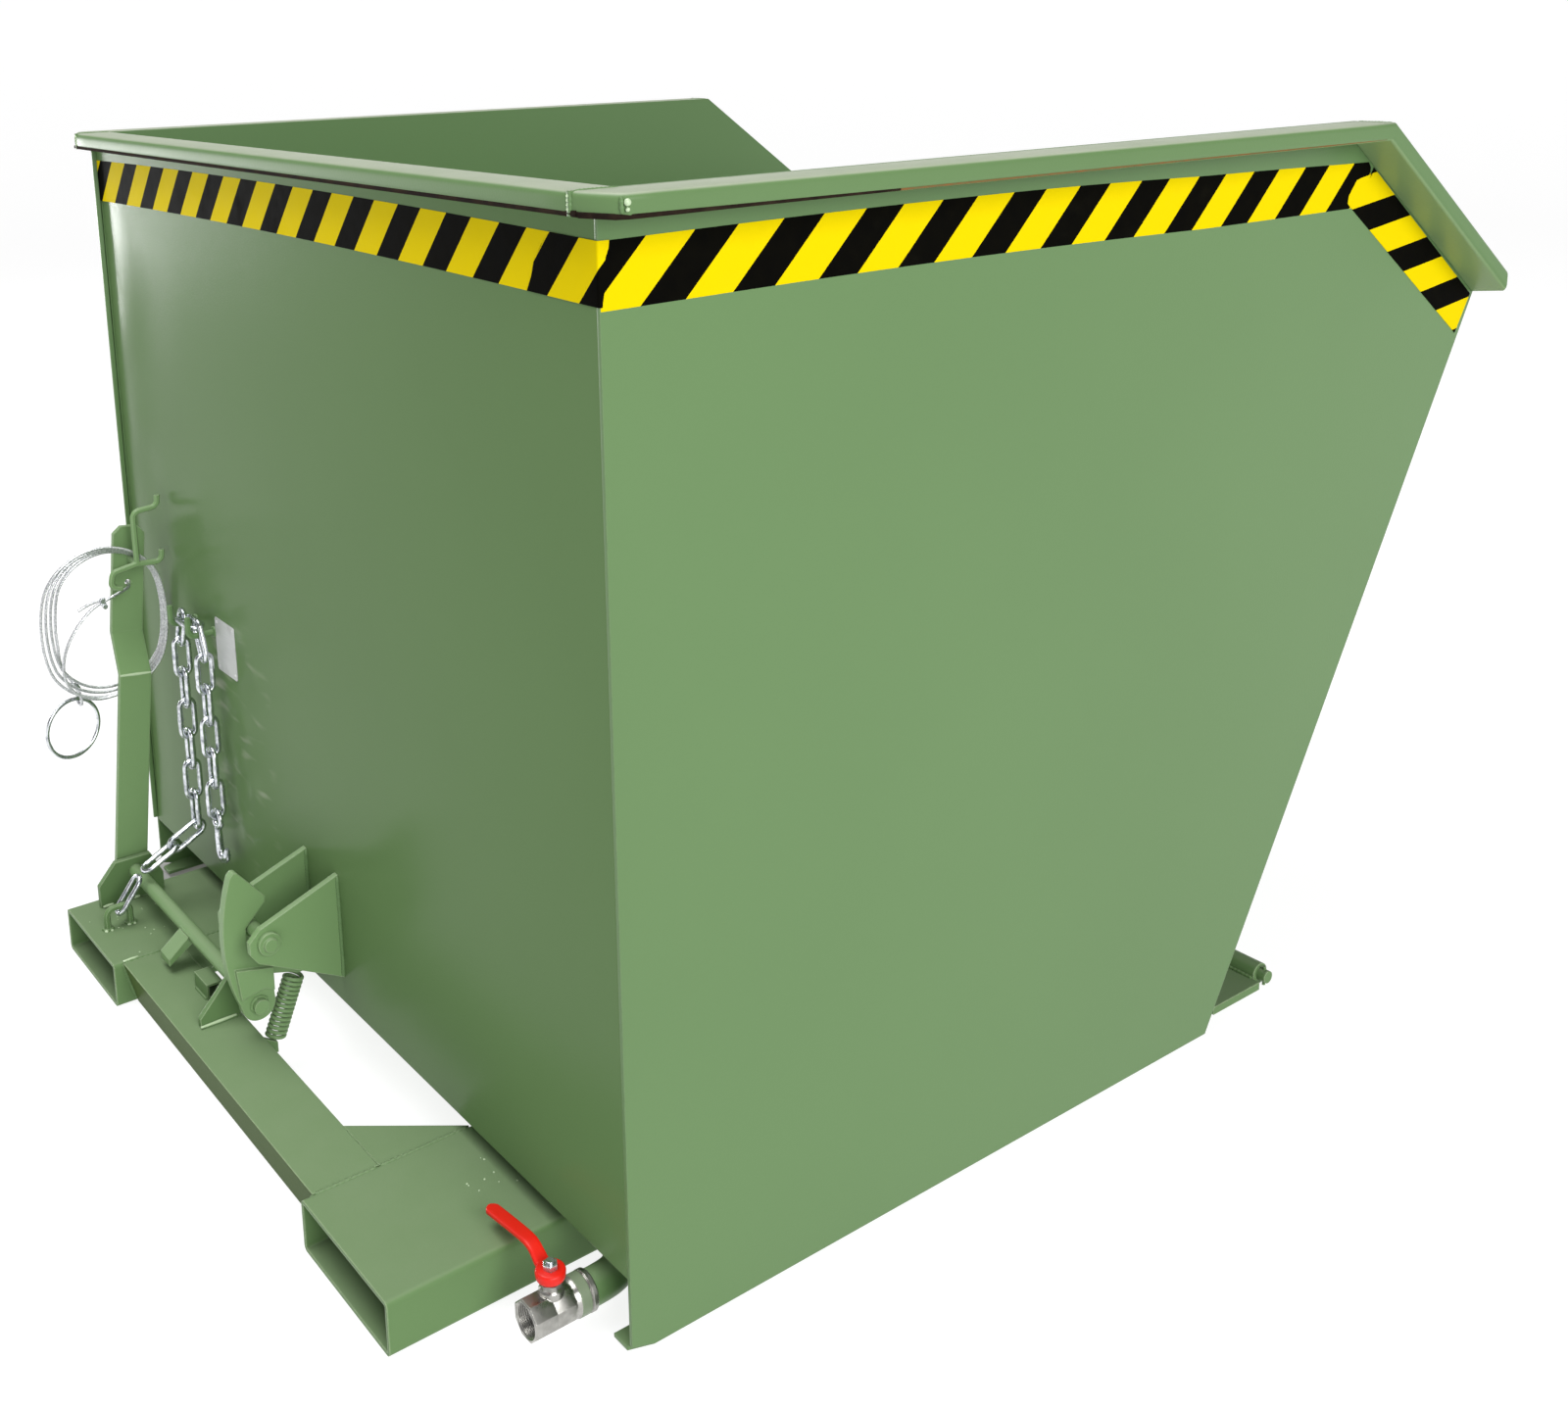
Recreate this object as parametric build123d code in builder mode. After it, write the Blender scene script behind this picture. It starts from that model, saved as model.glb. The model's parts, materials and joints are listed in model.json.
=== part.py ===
"""Forklift tipping container: a sheet-steel trough that tips forward on a low base with two fork pockets.

Frame: millimetres, +Z up, +X the pouring side, -X the forklift side. The origin is under the middle of
the object, on the floor. Left is +Y and right is -Y, as seen by someone behind the container.
Places along X are written from the outer face of the rear wall with the function at().
"""

import os
from math import atan2, cos, hypot, pi, sin, tan

from build123d import *

os.makedirs("parts", exist_ok=True)

# Trough
trough_width = 1200
total_height = 1069
lip_reach = 1310
lip_height = 863
slope_start = 1029
bottom_length = 832
skirt_bottom = 5
floor_height = 83
sheet = 4
corner_cut = (25, 8.5)
skirt_flange = 30
rim_width = 50
rim_height = 20
rim_wall = 3
rear_rim_overhang = 25
rim_end_slant = 17
lip_end_slant = 23

# Base
pocket_overhang = 176
pocket_size = (185, 58)
pocket_wall = 4
pocket_middle = 369.5
pocket_front = 879
front_plate_back = 880
front_plate_front = 970.8
front_plate_height = 10
front_plate_half = 577
base_half_width = 568
plate = 5
cross_top = 57
cross_back = 164
cross_toe = 150
cross_inner = 90
gusset_reach = (82, 106)

# Tipping hinge
hinge_reach = 984
hinge_height = 13.5
hinge_tube = 26.9
hinge_pin_size = 16
hinge_pin_half = 580
running = 0.05
arm_middle = 390
arm_thickness = 16
knuckle_width = 26
knuckle_gap = 1
cotter_size = 4

# Latch
shaft_back = 90
shaft_height = 97
shaft_size = 18
shaft_span = (10, 458)
pawl_near = 19
pawl_thickness = 12
striker_back = 89
striker_height = 193
striker_size = 16
bracket_faces = (-21, 64)
bracket_thickness = 8
spring_foot = (77, 33)
spring_head = (38, 128)
spring_middle = 25
spring_wire = 4.2
spring_radius = 10.4
spring_turns = 13
spring_body = (14, 89)
spring_hook = 5.5
lever_near = 446
lever_thickness = 8
lever_width = 42
lever_length = 464
lever_lean = atan2(51, 463)
lever_step = 36
lever_bends = (270, 320)

# Pull cable
rope = 4
coil_middle = (90, 440)
coil_radius = 82
coil_straight = 20
coil_start = 458
coil_pitch = 6.1
coil_rounds = 3
coil_fan = 6
ring_radius = 39
ring_wire = 6

# Safety chain
link_wire = 7
link_inside = 45
link_bow = 9.5
link_slack = 2

# Drain
drain_side = -534
drain_height = 35
drain_inlet = 40
pipe_size = 33.7
pipe_bore = 27
valve_mouth = 75
stem_back = 44
stem_size = 10
ball_radius = 17.5

rear_x = pocket_overhang - (lip_reach + pocket_overhang) / 2
half_width = trough_width / 2
inside_half = half_width - sheet
front_rise = (lip_height - skirt_bottom) / (lip_reach - bottom_length)
slope_turn = atan2(total_height - lip_height, lip_reach - slope_start)


def at(reach):
    """X of a place that lies this far ahead of the rear wall's outer face."""
    return rear_x + reach


def side_plane(y):
    """An upright plane across Y, with X to the right and Z up; extruding it goes towards -Y."""
    return Plane.XZ.offset(-y)


def front_line(z, back=0):
    """A point of the front edge at height z, moved back along X."""
    return (at(bottom_length + (z - skirt_bottom) / front_rise - back), z)


def keep(builder, label):
    """Names a finished piece and writes it."""
    builder.part.label = label
    export_step(builder.part, f"parts/{label}.step")


def side_pieces():
    """The two sides: the name's ending, the sign of Y."""
    return (("left", 1), ("right", -1))


# Rear wall, floor and front of the trough

with BuildPart() as rear_wall:
    with BuildSketch(Plane.YZ.offset(at(0))):
        with Locations((0, (floor_height + total_height - rim_height) / 2)):
            Rectangle(2 * inside_half, total_height - rim_height - floor_height)
    extrude(amount=sheet)
keep(rear_wall, "rear_wall")

front_foot = front_line(floor_height + sheet, sheet * hypot(1, 1 / front_rise))[0]

with BuildPart() as floor_sheet:
    with BuildSketch(side_plane(inside_half)):
        with Locations(((at(sheet) + front_foot) / 2, floor_height + sheet / 2)):
            Rectangle(front_foot - at(sheet), sheet)
    extrude(amount=2 * inside_half)
    with Locations(Location((at(drain_inlet), drain_side, floor_height + sheet))):
        Hole(pipe_bore / 2, depth=sheet)
keep(floor_sheet, "floor_sheet")

sheet_top = lip_height - 8

with BuildPart() as front_sheet:
    with BuildSketch(side_plane(inside_half)):
        with BuildLine():
            Polyline(
                (front_foot, floor_height),
                front_line(floor_height),
                front_line(sheet_top),
                front_line(sheet_top, sheet * hypot(1, 1 / front_rise)),
                (front_foot, floor_height + sheet),
                close=True,
            )
        make_face()
    extrude(amount=2 * inside_half)
keep(front_sheet, "front_sheet")

lip_depth = 40
lip_thickness = 6

with BuildPart() as lip_strip:
    inner = sheet * hypot(1, 1 / front_rise)
    outer = (sheet + lip_thickness) * hypot(1, 1 / front_rise)
    with BuildSketch(side_plane(inside_half)):
        with BuildLine():
            Polyline(
                front_line(sheet_top - lip_depth, inner),
                front_line(sheet_top, inner),
                front_line(sheet_top, outer),
                front_line(sheet_top - lip_depth, outer),
                close=True,
            )
        make_face()
    extrude(amount=2 * inside_half)
keep(lip_strip, "lip_strip")

# Side walls: one plate each, down to the floor, with a folded flange along the bottom

for ending, side in side_pieces():
    with BuildPart() as side_wall:
        with BuildSketch(side_plane(side * half_width)):
            with BuildLine():
                Polyline(
                    (at(0), skirt_bottom + corner_cut[1]),
                    (at(corner_cut[0]), skirt_bottom),
                    (at(bottom_length), skirt_bottom),
                    (at(lip_reach), lip_height),
                    (at(slope_start), total_height),
                    (at(-rear_rim_overhang), total_height),
                    (at(-rear_rim_overhang), total_height - rim_height),
                    (at(0), total_height - rim_height),
                    close=True,
                )
            make_face()
        extrude(amount=side * sheet)
        with BuildSketch(Plane.XY.offset(skirt_bottom)):
            with BuildLine():
                flange_end = at(bottom_length - corner_cut[0])
                flange_edge = side * (half_width - skirt_flange)
                Polyline(
                    (at(0), side * (half_width - corner_cut[1])),
                    (at(corner_cut[0]), side * half_width),
                    (flange_end, side * half_width),
                    (flange_end, flange_edge),
                    (at(0), flange_edge),
                    close=True,
                )
            make_face()
        extrude(amount=sheet)
    keep(side_wall, f"side_wall_{ending}")


def rim_band(top, bottom, rear_cut, lip_cut):
    """The rim seen from the side, between two depths under its top line, as a closed outline."""

    def break_point(depth):
        return (at(slope_start) - depth * tan(slope_turn / 2), total_height - depth)

    def lip_point(depth):
        x = at(lip_reach) - depth * sin(slope_turn) - lip_cut * cos(slope_turn)
        return (x, lip_height - depth * cos(slope_turn) + lip_cut * sin(slope_turn))

    rear = at(-rear_rim_overhang + rear_cut)
    Polyline(
        (rear, total_height - top),
        break_point(top),
        lip_point(top),
        lip_point(bottom),
        break_point(bottom),
        (rear, total_height - bottom),
        close=True,
    )


# Rim: rectangular tube laid flat, outside the side walls and across the top of the rear wall

for ending, side in side_pieces():
    with BuildPart() as side_rim:
        with BuildSketch(side_plane(side * half_width)):
            with BuildLine():
                rim_band(0, rim_height, 0, 0)
            make_face()
        extrude(amount=-side * rim_width)
        with BuildSketch(side_plane(side * (half_width + rim_wall))):
            with BuildLine():
                rim_band(rim_wall, rim_height - rim_wall, rim_end_slant + rim_wall, lip_end_slant + rim_wall)
            make_face()
        extrude(amount=-side * (rim_width - 2 * rim_wall), mode=Mode.SUBTRACT)
        with BuildSketch(Plane.XY.offset(lip_height - rim_width)):
            with BuildLine():
                Polyline(
                    (at(-rear_rim_overhang), side * half_width),
                    (at(rim_end_slant - rear_rim_overhang), side * (half_width + rim_width)),
                    (at(-rear_rim_overhang), side * (half_width + rim_width)),
                    close=True,
                )
            make_face()
            with BuildLine():
                Polyline(
                    (at(lip_reach), side * half_width),
                    (at(lip_reach - lip_end_slant), side * (half_width + rim_width)),
                    (at(lip_reach), side * (half_width + rim_width)),
                    close=True,
                )
            make_face()
        extrude(amount=total_height, mode=Mode.SUBTRACT)
    keep(side_rim, f"rim_{ending}")

with BuildPart() as rim_rear:
    with BuildSketch(side_plane(inside_half)):
        with Locations((at(0), total_height - rim_height / 2)):
            Rectangle(2 * rear_rim_overhang, rim_height)
            Rectangle(2 * (rear_rim_overhang - rim_wall), rim_height - 2 * rim_wall, mode=Mode.SUBTRACT)
    extrude(amount=2 * inside_half)
keep(rim_rear, "rim_rear")

# Runners under the floor, which rest on the fork pockets

runner_width = 60
runner_top = floor_height
runner_foot = pocket_size[1] + 0.4
runner_ends = (30, 850)

for ending, side in side_pieces():
    with BuildPart() as runner:
        with BuildSketch(Plane.YZ.offset(at(runner_ends[0]))):
            with Locations((side * pocket_middle, (runner_top + runner_foot) / 2)):
                Rectangle(runner_width, runner_top - runner_foot)
            with Locations((side * pocket_middle, (runner_top + runner_foot) / 2 - sheet)):
                Rectangle(runner_width - 2 * sheet, runner_top - runner_foot, mode=Mode.SUBTRACT)
        extrude(amount=runner_ends[1] - runner_ends[0])
    keep(runner, f"floor_runner_{ending}")

# Hinge arms: plates from the front sheet down to a knuckle on the tipping pin

arm_top = 200
arm_foot = 22
arm_toe = 11

for ending, side in side_pieces():
    with BuildPart() as arm:
        with BuildSketch(side_plane(side * arm_middle + arm_thickness / 2)):
            with BuildLine():
                Polyline(
                    front_line(floor_height),
                    front_line(arm_top),
                    (at(hinge_reach + arm_toe), arm_foot),
                    (at(hinge_reach - arm_toe), arm_foot),
                    close=True,
                )
            make_face()
        extrude(amount=arm_thickness)
        with BuildSketch(side_plane(side * arm_middle + knuckle_width / 2)):
            with Locations((at(hinge_reach), hinge_height)):
                Circle(hinge_tube / 2)
        extrude(amount=knuckle_width)
        with BuildSketch(side_plane(side * arm_middle + knuckle_width / 2)):
            with Locations((at(hinge_reach), hinge_height)):
                Circle(hinge_pin_size / 2 + running)
        extrude(amount=knuckle_width, mode=Mode.SUBTRACT)
    keep(arm, f"hinge_arm_{ending}")

# Base: fork pockets

for ending, side in side_pieces():
    with BuildPart() as pocket:
        with BuildSketch(Plane.YZ.offset(at(-pocket_overhang))):
            with Locations((side * pocket_middle, pocket_size[1] / 2)):
                RectangleRounded(*pocket_size, 6)
                RectangleRounded(
                    pocket_size[0] - 2 * pocket_wall,
                    pocket_size[1] - 2 * pocket_wall,
                    2,
                    mode=Mode.SUBTRACT,
                )
        extrude(amount=pocket_overhang + pocket_front)
    keep(pocket, f"fork_pocket_{ending}")

pocket_inner = pocket_middle - pocket_size[0] / 2

# Rear cross member: folded plate with a leaning outer face, between the pockets

cross_lip = 105

with BuildPart() as rear_cross_member:
    with BuildSketch(side_plane(pocket_inner)):
        with BuildLine():
            Polyline(
                (at(-cross_inner), cross_top),
                (at(-cross_back), cross_top),
                (at(-cross_toe), 0),
                (at(-cross_lip), 0),
                (at(-cross_lip), plate),
                (at(plate - cross_toe), plate),
                (at(plate - cross_back), cross_top - plate),
                (at(-cross_inner), cross_top - plate),
                close=True,
            )
        make_face()
    extrude(amount=2 * pocket_inner)
keep(rear_cross_member, "rear_cross_member")

for ending, side in side_pieces():
    with BuildPart() as gusset:
        with BuildSketch(Plane.XY.offset(cross_top - plate)):
            with BuildLine():
                Polyline(
                    (at(-cross_inner), side * pocket_inner),
                    (at(-cross_inner), side * (pocket_inner - gusset_reach[0])),
                    (at(gusset_reach[1] - cross_inner), side * pocket_inner),
                    close=True,
                )
            make_face()
        extrude(amount=plate)
    keep(gusset, f"gusset_{ending}")

# Front plate of the base, notched where the hinge arms turn

notch_depth = 13
notch_width = 30

with BuildPart() as front_plate:
    with Locations((at((front_plate_back + front_plate_front) / 2), 0, front_plate_height / 2)):
        Box(front_plate_front - front_plate_back, 2 * front_plate_half, front_plate_height)
    with Locations(*[
        (at(front_plate_front - notch_depth / 2), side * arm_middle, front_plate_height / 2)
        for ending, side in side_pieces()
    ]):
        Box(notch_depth, notch_width, front_plate_height, mode=Mode.SUBTRACT)
keep(front_plate, "front_plate")

# Hinge tubes on the front edge of the plate, with the tipping pin through them

knuckle_edge = knuckle_width / 2 + knuckle_gap
tube_spans = {
    "hinge_tube_right": (-base_half_width, -arm_middle - knuckle_edge),
    "hinge_tube_middle": (-arm_middle + knuckle_edge, arm_middle - knuckle_edge),
    "hinge_tube_left": (arm_middle + knuckle_edge, base_half_width),
}

for label, (low, high) in tube_spans.items():
    with BuildPart() as tube:
        with BuildSketch(side_plane(high)):
            with Locations((at(hinge_reach), hinge_height)):
                Circle(hinge_tube / 2)
                Circle(hinge_pin_size / 2 + running, mode=Mode.SUBTRACT)
        extrude(amount=high - low)
    keep(tube, label)

cotter_places = [
    (at(hinge_reach), side * (hinge_pin_half - 6), hinge_height) for ending, side in side_pieces()
]

with BuildPart() as hinge_pin:
    with BuildSketch(side_plane(hinge_pin_half)):
        with Locations((at(hinge_reach), hinge_height)):
            Circle(hinge_pin_size / 2)
    extrude(amount=2 * hinge_pin_half)
    with Locations(*cotter_places):
        Cylinder(cotter_size / 2 + running, hinge_pin_size, mode=Mode.SUBTRACT)
keep(hinge_pin, "hinge_pin")

with BuildPart() as cotter_pins:
    with Locations(*cotter_places):
        Cylinder(cotter_size / 2, hinge_tube - 2)
keep(cotter_pins, "cotter_pins")

# Bearings of the release shaft

bearing_face = 440

with BuildPart() as bearing_plate:
    with BuildSketch(side_plane(bearing_face)):
        with BuildLine():
            Polyline(
                (at(-140), pocket_size[1]),
                (at(-140), 88),
                (at(-116), 116),
                (at(-68), 116),
                (at(-53), 84),
                (at(-53), pocket_size[1]),
                close=True,
            )
        make_face()
        with Locations((at(-shaft_back), shaft_height)):
            Circle(shaft_size / 2 + running, mode=Mode.SUBTRACT)
    extrude(amount=8)
keep(bearing_plate, "bearing_plate")

lug_face = 84

with BuildPart() as bearing_lug:
    with BuildSketch(side_plane(lug_face)):
        with BuildLine():
            Polyline(
                (at(-141), cross_top),
                (at(-141), 68),
                (at(-104), 109),
                (at(-shaft_back), shaft_height),
                (at(-cross_inner - 2), cross_top),
                close=True,
            )
        make_face()
        with Locations((at(-shaft_back), shaft_height)):
            Circle(18)
            Circle(shaft_size / 2 + running, mode=Mode.SUBTRACT)
    extrude(amount=8)
keep(bearing_lug, "bearing_lug")

block_size = 20
block_length = 40
block_middle = (102, 149)

with BuildPart() as stop_block:
    with BuildSketch(side_plane(block_middle[1] + block_length / 2)):
        with Locations((at(-block_middle[0]), cross_top + block_size / 2)):
            Rectangle(block_size, block_size)
            Rectangle(block_size - 2 * rim_wall, block_size - 2 * rim_wall, mode=Mode.SUBTRACT)
    extrude(amount=block_length)
keep(stop_block, "stop_block")

# Latch: shaft, pawl, stop tab and lever turn together

with BuildPart() as release_shaft:
    with BuildSketch(side_plane(shaft_span[1])):
        with Locations((at(-shaft_back), shaft_height)):
            Circle(shaft_size / 2)
    extrude(amount=shaft_span[1] - shaft_span[0])
keep(release_shaft, "release_shaft")

pawl_far = pawl_near + pawl_thickness
pawl_boss = 20
spring_pin = 3

with BuildPart() as latch_pawl:
    with BuildSketch(side_plane(pawl_far)):
        with BuildLine():
            rear_edge = ThreePointArc((at(-110), shaft_height), (at(-126), 175), (at(-113), 262))
            Polyline(
                rear_edge @ 1,
                (at(-108), 267),
                (at(-104), 266),
                (at(-73), 228),
                (at(-74), 221),
                (at(-99), 196),
                (at(-99), 166),
                (at(-62), 150),
                (at(-33), 136),
            )
            Polyline((at(-33), 136), (at(-38), 120), (at(-72), 130), (at(-70), shaft_height), rear_edge @ 0)
        make_face()
        with Locations((at(-spring_head[0]), spring_head[1])):
            Circle(9)
        with Locations((at(-shaft_back), shaft_height)):
            Circle(pawl_boss)
            Circle(shaft_size / 2 + running, mode=Mode.SUBTRACT)
    extrude(amount=pawl_thickness)
    with BuildSketch(side_plane(pawl_near)):
        with BuildLine():
            Polyline(
                (at(-116), 150), (at(-72), 140), (at(-72), 112), (at(-84), 118), (at(-112), 112), close=True
            )
        make_face()
    extrude(amount=6)
    with BuildSketch(side_plane(pawl_far + 11)):
        with Locations((at(-spring_head[0]), spring_head[1])):
            Circle(spring_pin)
    extrude(amount=11)
keep(latch_pawl, "latch_pawl")

tab_span = (215, 245)

with BuildPart() as stop_tab:
    with BuildSketch(side_plane(tab_span[1])):
        with BuildLine():
            Polyline(
                (at(-99.3), 98), (at(-126), 76), (at(-126), 67), (at(-95), 88.2), (at(-99.3), 94), close=True
            )
        make_face()
        with Locations((at(-shaft_back), shaft_height)):
            Circle(shaft_size / 2 + running, mode=Mode.SUBTRACT)
    extrude(amount=tab_span[1] - tab_span[0])
keep(stop_tab, "stop_tab")

# Lever: flat bar that leans to the wall, stepped sideways past the cable coil

lever_plane = Plane(
    origin=(at(-shaft_back), lever_near, shaft_height),
    x_dir=(0, 1, 0),
    z_dir=(cos(lever_lean), 0, -sin(lever_lean)),
)
lever_hole = (at(-48), 482)

with BuildPart() as release_lever:
    with BuildSketch(lever_plane):
        with BuildLine():
            low, high = lever_bends
            Polyline(
                (0, 0),
                (0, low),
                (lever_step, high),
                (lever_step, lever_length),
                (lever_step + lever_thickness, lever_length),
                (lever_step + lever_thickness, high),
                (lever_thickness, low),
                (lever_thickness, 0),
                close=True,
            )
        make_face()
    extrude(amount=lever_width / 2, both=True)
    chamfer(release_lever.edges().filter_by(Axis.Y).sort_by(Axis.Z)[-2:], 10)
    with BuildSketch(side_plane(lever_near + lever_thickness)):
        with Locations((at(-shaft_back), shaft_height)):
            Circle(lever_width / 2 + 3)
    extrude(amount=lever_thickness)
    with BuildSketch(side_plane(lever_near + lever_thickness)):
        with Locations((at(-shaft_back), shaft_height)):
            Circle(shaft_size / 2 + running)
    extrude(amount=lever_thickness, mode=Mode.SUBTRACT)
    with BuildSketch(side_plane(lever_near + lever_step + lever_thickness)):
        with Locations(lever_hole):
            Circle(4)
    extrude(amount=lever_thickness, mode=Mode.SUBTRACT)
keep(release_lever, "release_lever")

lever_face = lever_near + lever_step


def bar_along(points, radii, size):
    """A bar along straight runs and tangent arcs, its round section drawn with few sides."""
    with BuildPart() as bar:
        with BuildLine() as route:
            if radii:
                FilletPolyline(*points, radius=radii)
            else:
                Line(*points)
        with BuildSketch(Plane(origin=route.line @ 0, z_dir=route.line % 0)):
            RegularPolygon(size / 2, 6)
        sweep()
    return bar.part


# Cable hanger: bent bar on the lever, with two upturned hooks and a curl behind

hanger_bar = 8
hanger_y = 449
hanger_root = (at(-44), 515)

with BuildPart() as cable_hanger:
    root_x, root_z = hanger_root
    add(bar_along([(root_x, lever_face - 0.05, root_z), (root_x, hanger_y, root_z)], None, hanger_bar))
    add(bar_along(
        [
            (root_x, hanger_y, root_z),
            (root_x, hanger_y, 585),
            (at(-11), hanger_y, 588),
            (at(-10), hanger_y, 603),
        ],
        [9, 9],
        hanger_bar,
    ))
    add(bar_along(
        [(root_x, hanger_y, root_z), (at(-11), hanger_y, 512), (at(-10), hanger_y, 528)], [9], hanger_bar
    ))
    add(bar_along(
        [
            (root_x, hanger_y, root_z),
            (at(-77), hanger_y, 509),
            (at(-81), hanger_y, 490),
            (at(-66), hanger_y, 486),
        ],
        [8, 8],
        hanger_bar,
    ))
keep(cable_hanger, "cable_hanger")

# Pull cable: a free stretch from the lever, a hung coil, and a tail with a pull ring


def least_gap(wire, size, samples=1500):
    """The least clear distance between stretches of one tube that are not next to each other."""
    spots = [wire.position_at(i / samples) for i in range(samples + 1)]
    apart = int(4 * size / wire.length * samples) + 1
    nearest = min(
        (spots[i] - spots[j]).length for i in range(samples + 1) for j in range(i + apart, samples + 1)
    )
    return nearest - size


coil_right = at(-coil_middle[0] + coil_radius)
coil_x = at(-coil_middle[0])
coil_low = coil_middle[1] - coil_straight
coil_high = coil_middle[1] + coil_straight
coil_end = coil_start + (coil_rounds + 0.5) * coil_pitch
coil_foot = coil_low - coil_radius


def coil_left(number):
    """X of the left side of one round; each round is a little narrower, so the rounds fan out there."""
    return coil_right - 2 * coil_radius + number * coil_fan


def top_turn(number):
    """Up the right side of the coil, over its top and down the left side, climbing half a pitch."""
    y = coil_start + number * coil_pitch
    left = coil_left(number)
    radius = (coil_right - left) / 2
    Line((coil_right, y, coil_low), (coil_right, y, coil_high))
    ThreePointArc(
        (coil_right, y, coil_high),
        (coil_right - radius, y + coil_pitch / 4, coil_high + radius),
        (left, y + coil_pitch / 2, coil_high),
    )
    Line((left, y + coil_pitch / 2, coil_high), (left, y + coil_pitch / 2, coil_low))


def bottom_turn(number):
    """Under the bottom of the coil from left to right, climbing half a pitch."""
    y = coil_start + (number + 0.5) * coil_pitch
    left = coil_left(number)
    radius = (coil_right - left) / 2
    ThreePointArc(
        (left, y, coil_low),
        (coil_right - radius, y + coil_pitch / 4, coil_low - radius),
        (coil_right, y + coil_pitch / 2, coil_low),
    )


with BuildPart() as pull_cable_coil:
    with BuildLine() as loops:
        Line((coil_x - rope, coil_start, coil_foot), (coil_x, coil_start, coil_foot))
        diagonal = coil_radius * sin(pi / 4)
        ThreePointArc(
            (coil_x, coil_start, coil_foot),
            (coil_x + diagonal, coil_start, coil_low - diagonal),
            (coil_right, coil_start, coil_low),
        )
        for number in range(coil_rounds):
            top_turn(number)
            bottom_turn(number)
        top_turn(coil_rounds)
        last_left = coil_left(coil_rounds)
        Line((last_left, coil_end, coil_low), (last_left, coil_end, coil_low - rope))
    with BuildSketch(Plane(origin=loops.line @ 0, z_dir=loops.line % 0)):
        RegularPolygon(rope / 2, 5)
    sweep()
keep(pull_cable_coil, "pull_cable_coil")
print("coil: least gap to itself", round(least_gap(loops.wire(), rope), 2), "mm")

cable_points = [
    (lever_hole[0], lever_face + 6, lever_hole[1]),
    (lever_hole[0], lever_face - 8, lever_hole[1]),
    (at(-54), 462, 481),
    (at(-68), 456, 478.5),
    (at(-82), 454, 474.5),
    (at(-106), 454, 466),
    (at(-126), 454, 448),
    (at(-142), 454, 425),
    (at(-150.5), 454.5, 400),
    (at(-150), 455.5, 375),
    (at(-138), 457, 353),
    (at(-116), coil_start, coil_foot + 2),
    (coil_x - rope - 0.1, coil_start, coil_foot),
]
tail_points = [
    (last_left, coil_end, coil_low - rope - 0.1),
    (last_left, coil_end, 398),
    (at(-147), coil_end + 2, 381),
    (at(-134), coil_end + 5, 364),
    (at(-126), coil_end + 6, 350),
]


def easy_bends(points):
    """The largest bend at each corner that its two runs leave room for."""
    radii = []
    for before, corner, after in zip(points, points[1:], points[2:]):
        inward = Vector(*corner) - Vector(*before)
        outward = Vector(*after) - Vector(*corner)
        half_turn = inward.get_angle(outward) * pi / 360
        radii.append(0.45 * min(inward.length, outward.length) / tan(half_turn))
    return radii


def rope_tube(label, points):
    """One free stretch of the pull cable; prints its bends and its length by volume."""
    radii = easy_bends(points)
    with BuildPart() as stretch:
        add(bar_along(points, radii, rope))
    section = 6 * (rope / 2) ** 2 * sin(pi / 3) / 2
    length = stretch.part.volume / section
    print(label, "bend radii", [round(radius) for radius in radii], "mm, length", round(length), "mm")
    keep(stretch, label)


rope_tube("pull_cable", cable_points)
rope_tube("ring_tail", tail_points)
print("coil length", round(loops.wire().length), "mm")

run = Vector(*cable_points[5]) - Vector(*cable_points[4])
clip_middle = Vector(*cable_points[4]) + run * 0.5

with BuildPart() as cable_clip:
    with BuildSketch(Plane(origin=clip_middle, z_dir=run)):
        Circle(6)
        Circle(rope / 2 + running, mode=Mode.SUBTRACT)
    extrude(amount=5, both=True)
keep(cable_clip, "cable_clip")

tail_end = Vector(*tail_points[-1])
eye_radius = 9
eye_wire = 4
eye_middle = tail_end + Vector(0.5, 0, -eye_radius - eye_wire / 2 - 1.3)


def ring_about(middle, direction, radius, wire):
    """A ring of bar about an axis, its round section drawn with few sides."""
    with BuildPart() as ring:
        with BuildSketch(Plane(origin=middle, x_dir=direction.cross(Vector(0, 0, 1)), z_dir=(0, 0, 1))):
            with Locations((radius, 0)):
                RegularPolygon(wire / 2, 6)
        revolve(axis=Axis(middle, direction))
    return ring.part


with BuildPart() as ring_eye:
    add(ring_about(eye_middle, Vector(1, 0, 0), eye_radius, eye_wire))
keep(ring_eye, "ring_eye")

hang_way = Vector(12, 0, 38).normalized()
held_at = eye_middle + Vector(0, 0, (eye_wire + ring_wire) / 2 + 0.4 - eye_radius)
ring_middle = held_at - hang_way * ring_radius

with BuildPart() as pull_ring:
    add(ring_about(ring_middle, Vector(0, 1, 0), ring_radius, ring_wire))
keep(pull_ring, "pull_ring")

# Latch spring: close curls with a side hook round a pin at each end

spring_low = Vector(at(-spring_foot[0]), spring_middle, spring_foot[1])
spring_high = Vector(at(-spring_head[0]), spring_middle, spring_head[1])
spring_length = (spring_high - spring_low).length
spring_plane = Plane(origin=spring_low, x_dir=(0, 1, 0), z_dir=spring_high - spring_low)


def on_spring(u, v, w):
    """A point given across Y, across the spring and along it."""
    return spring_plane.from_local_coords(Vector(u, v, w))


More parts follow.
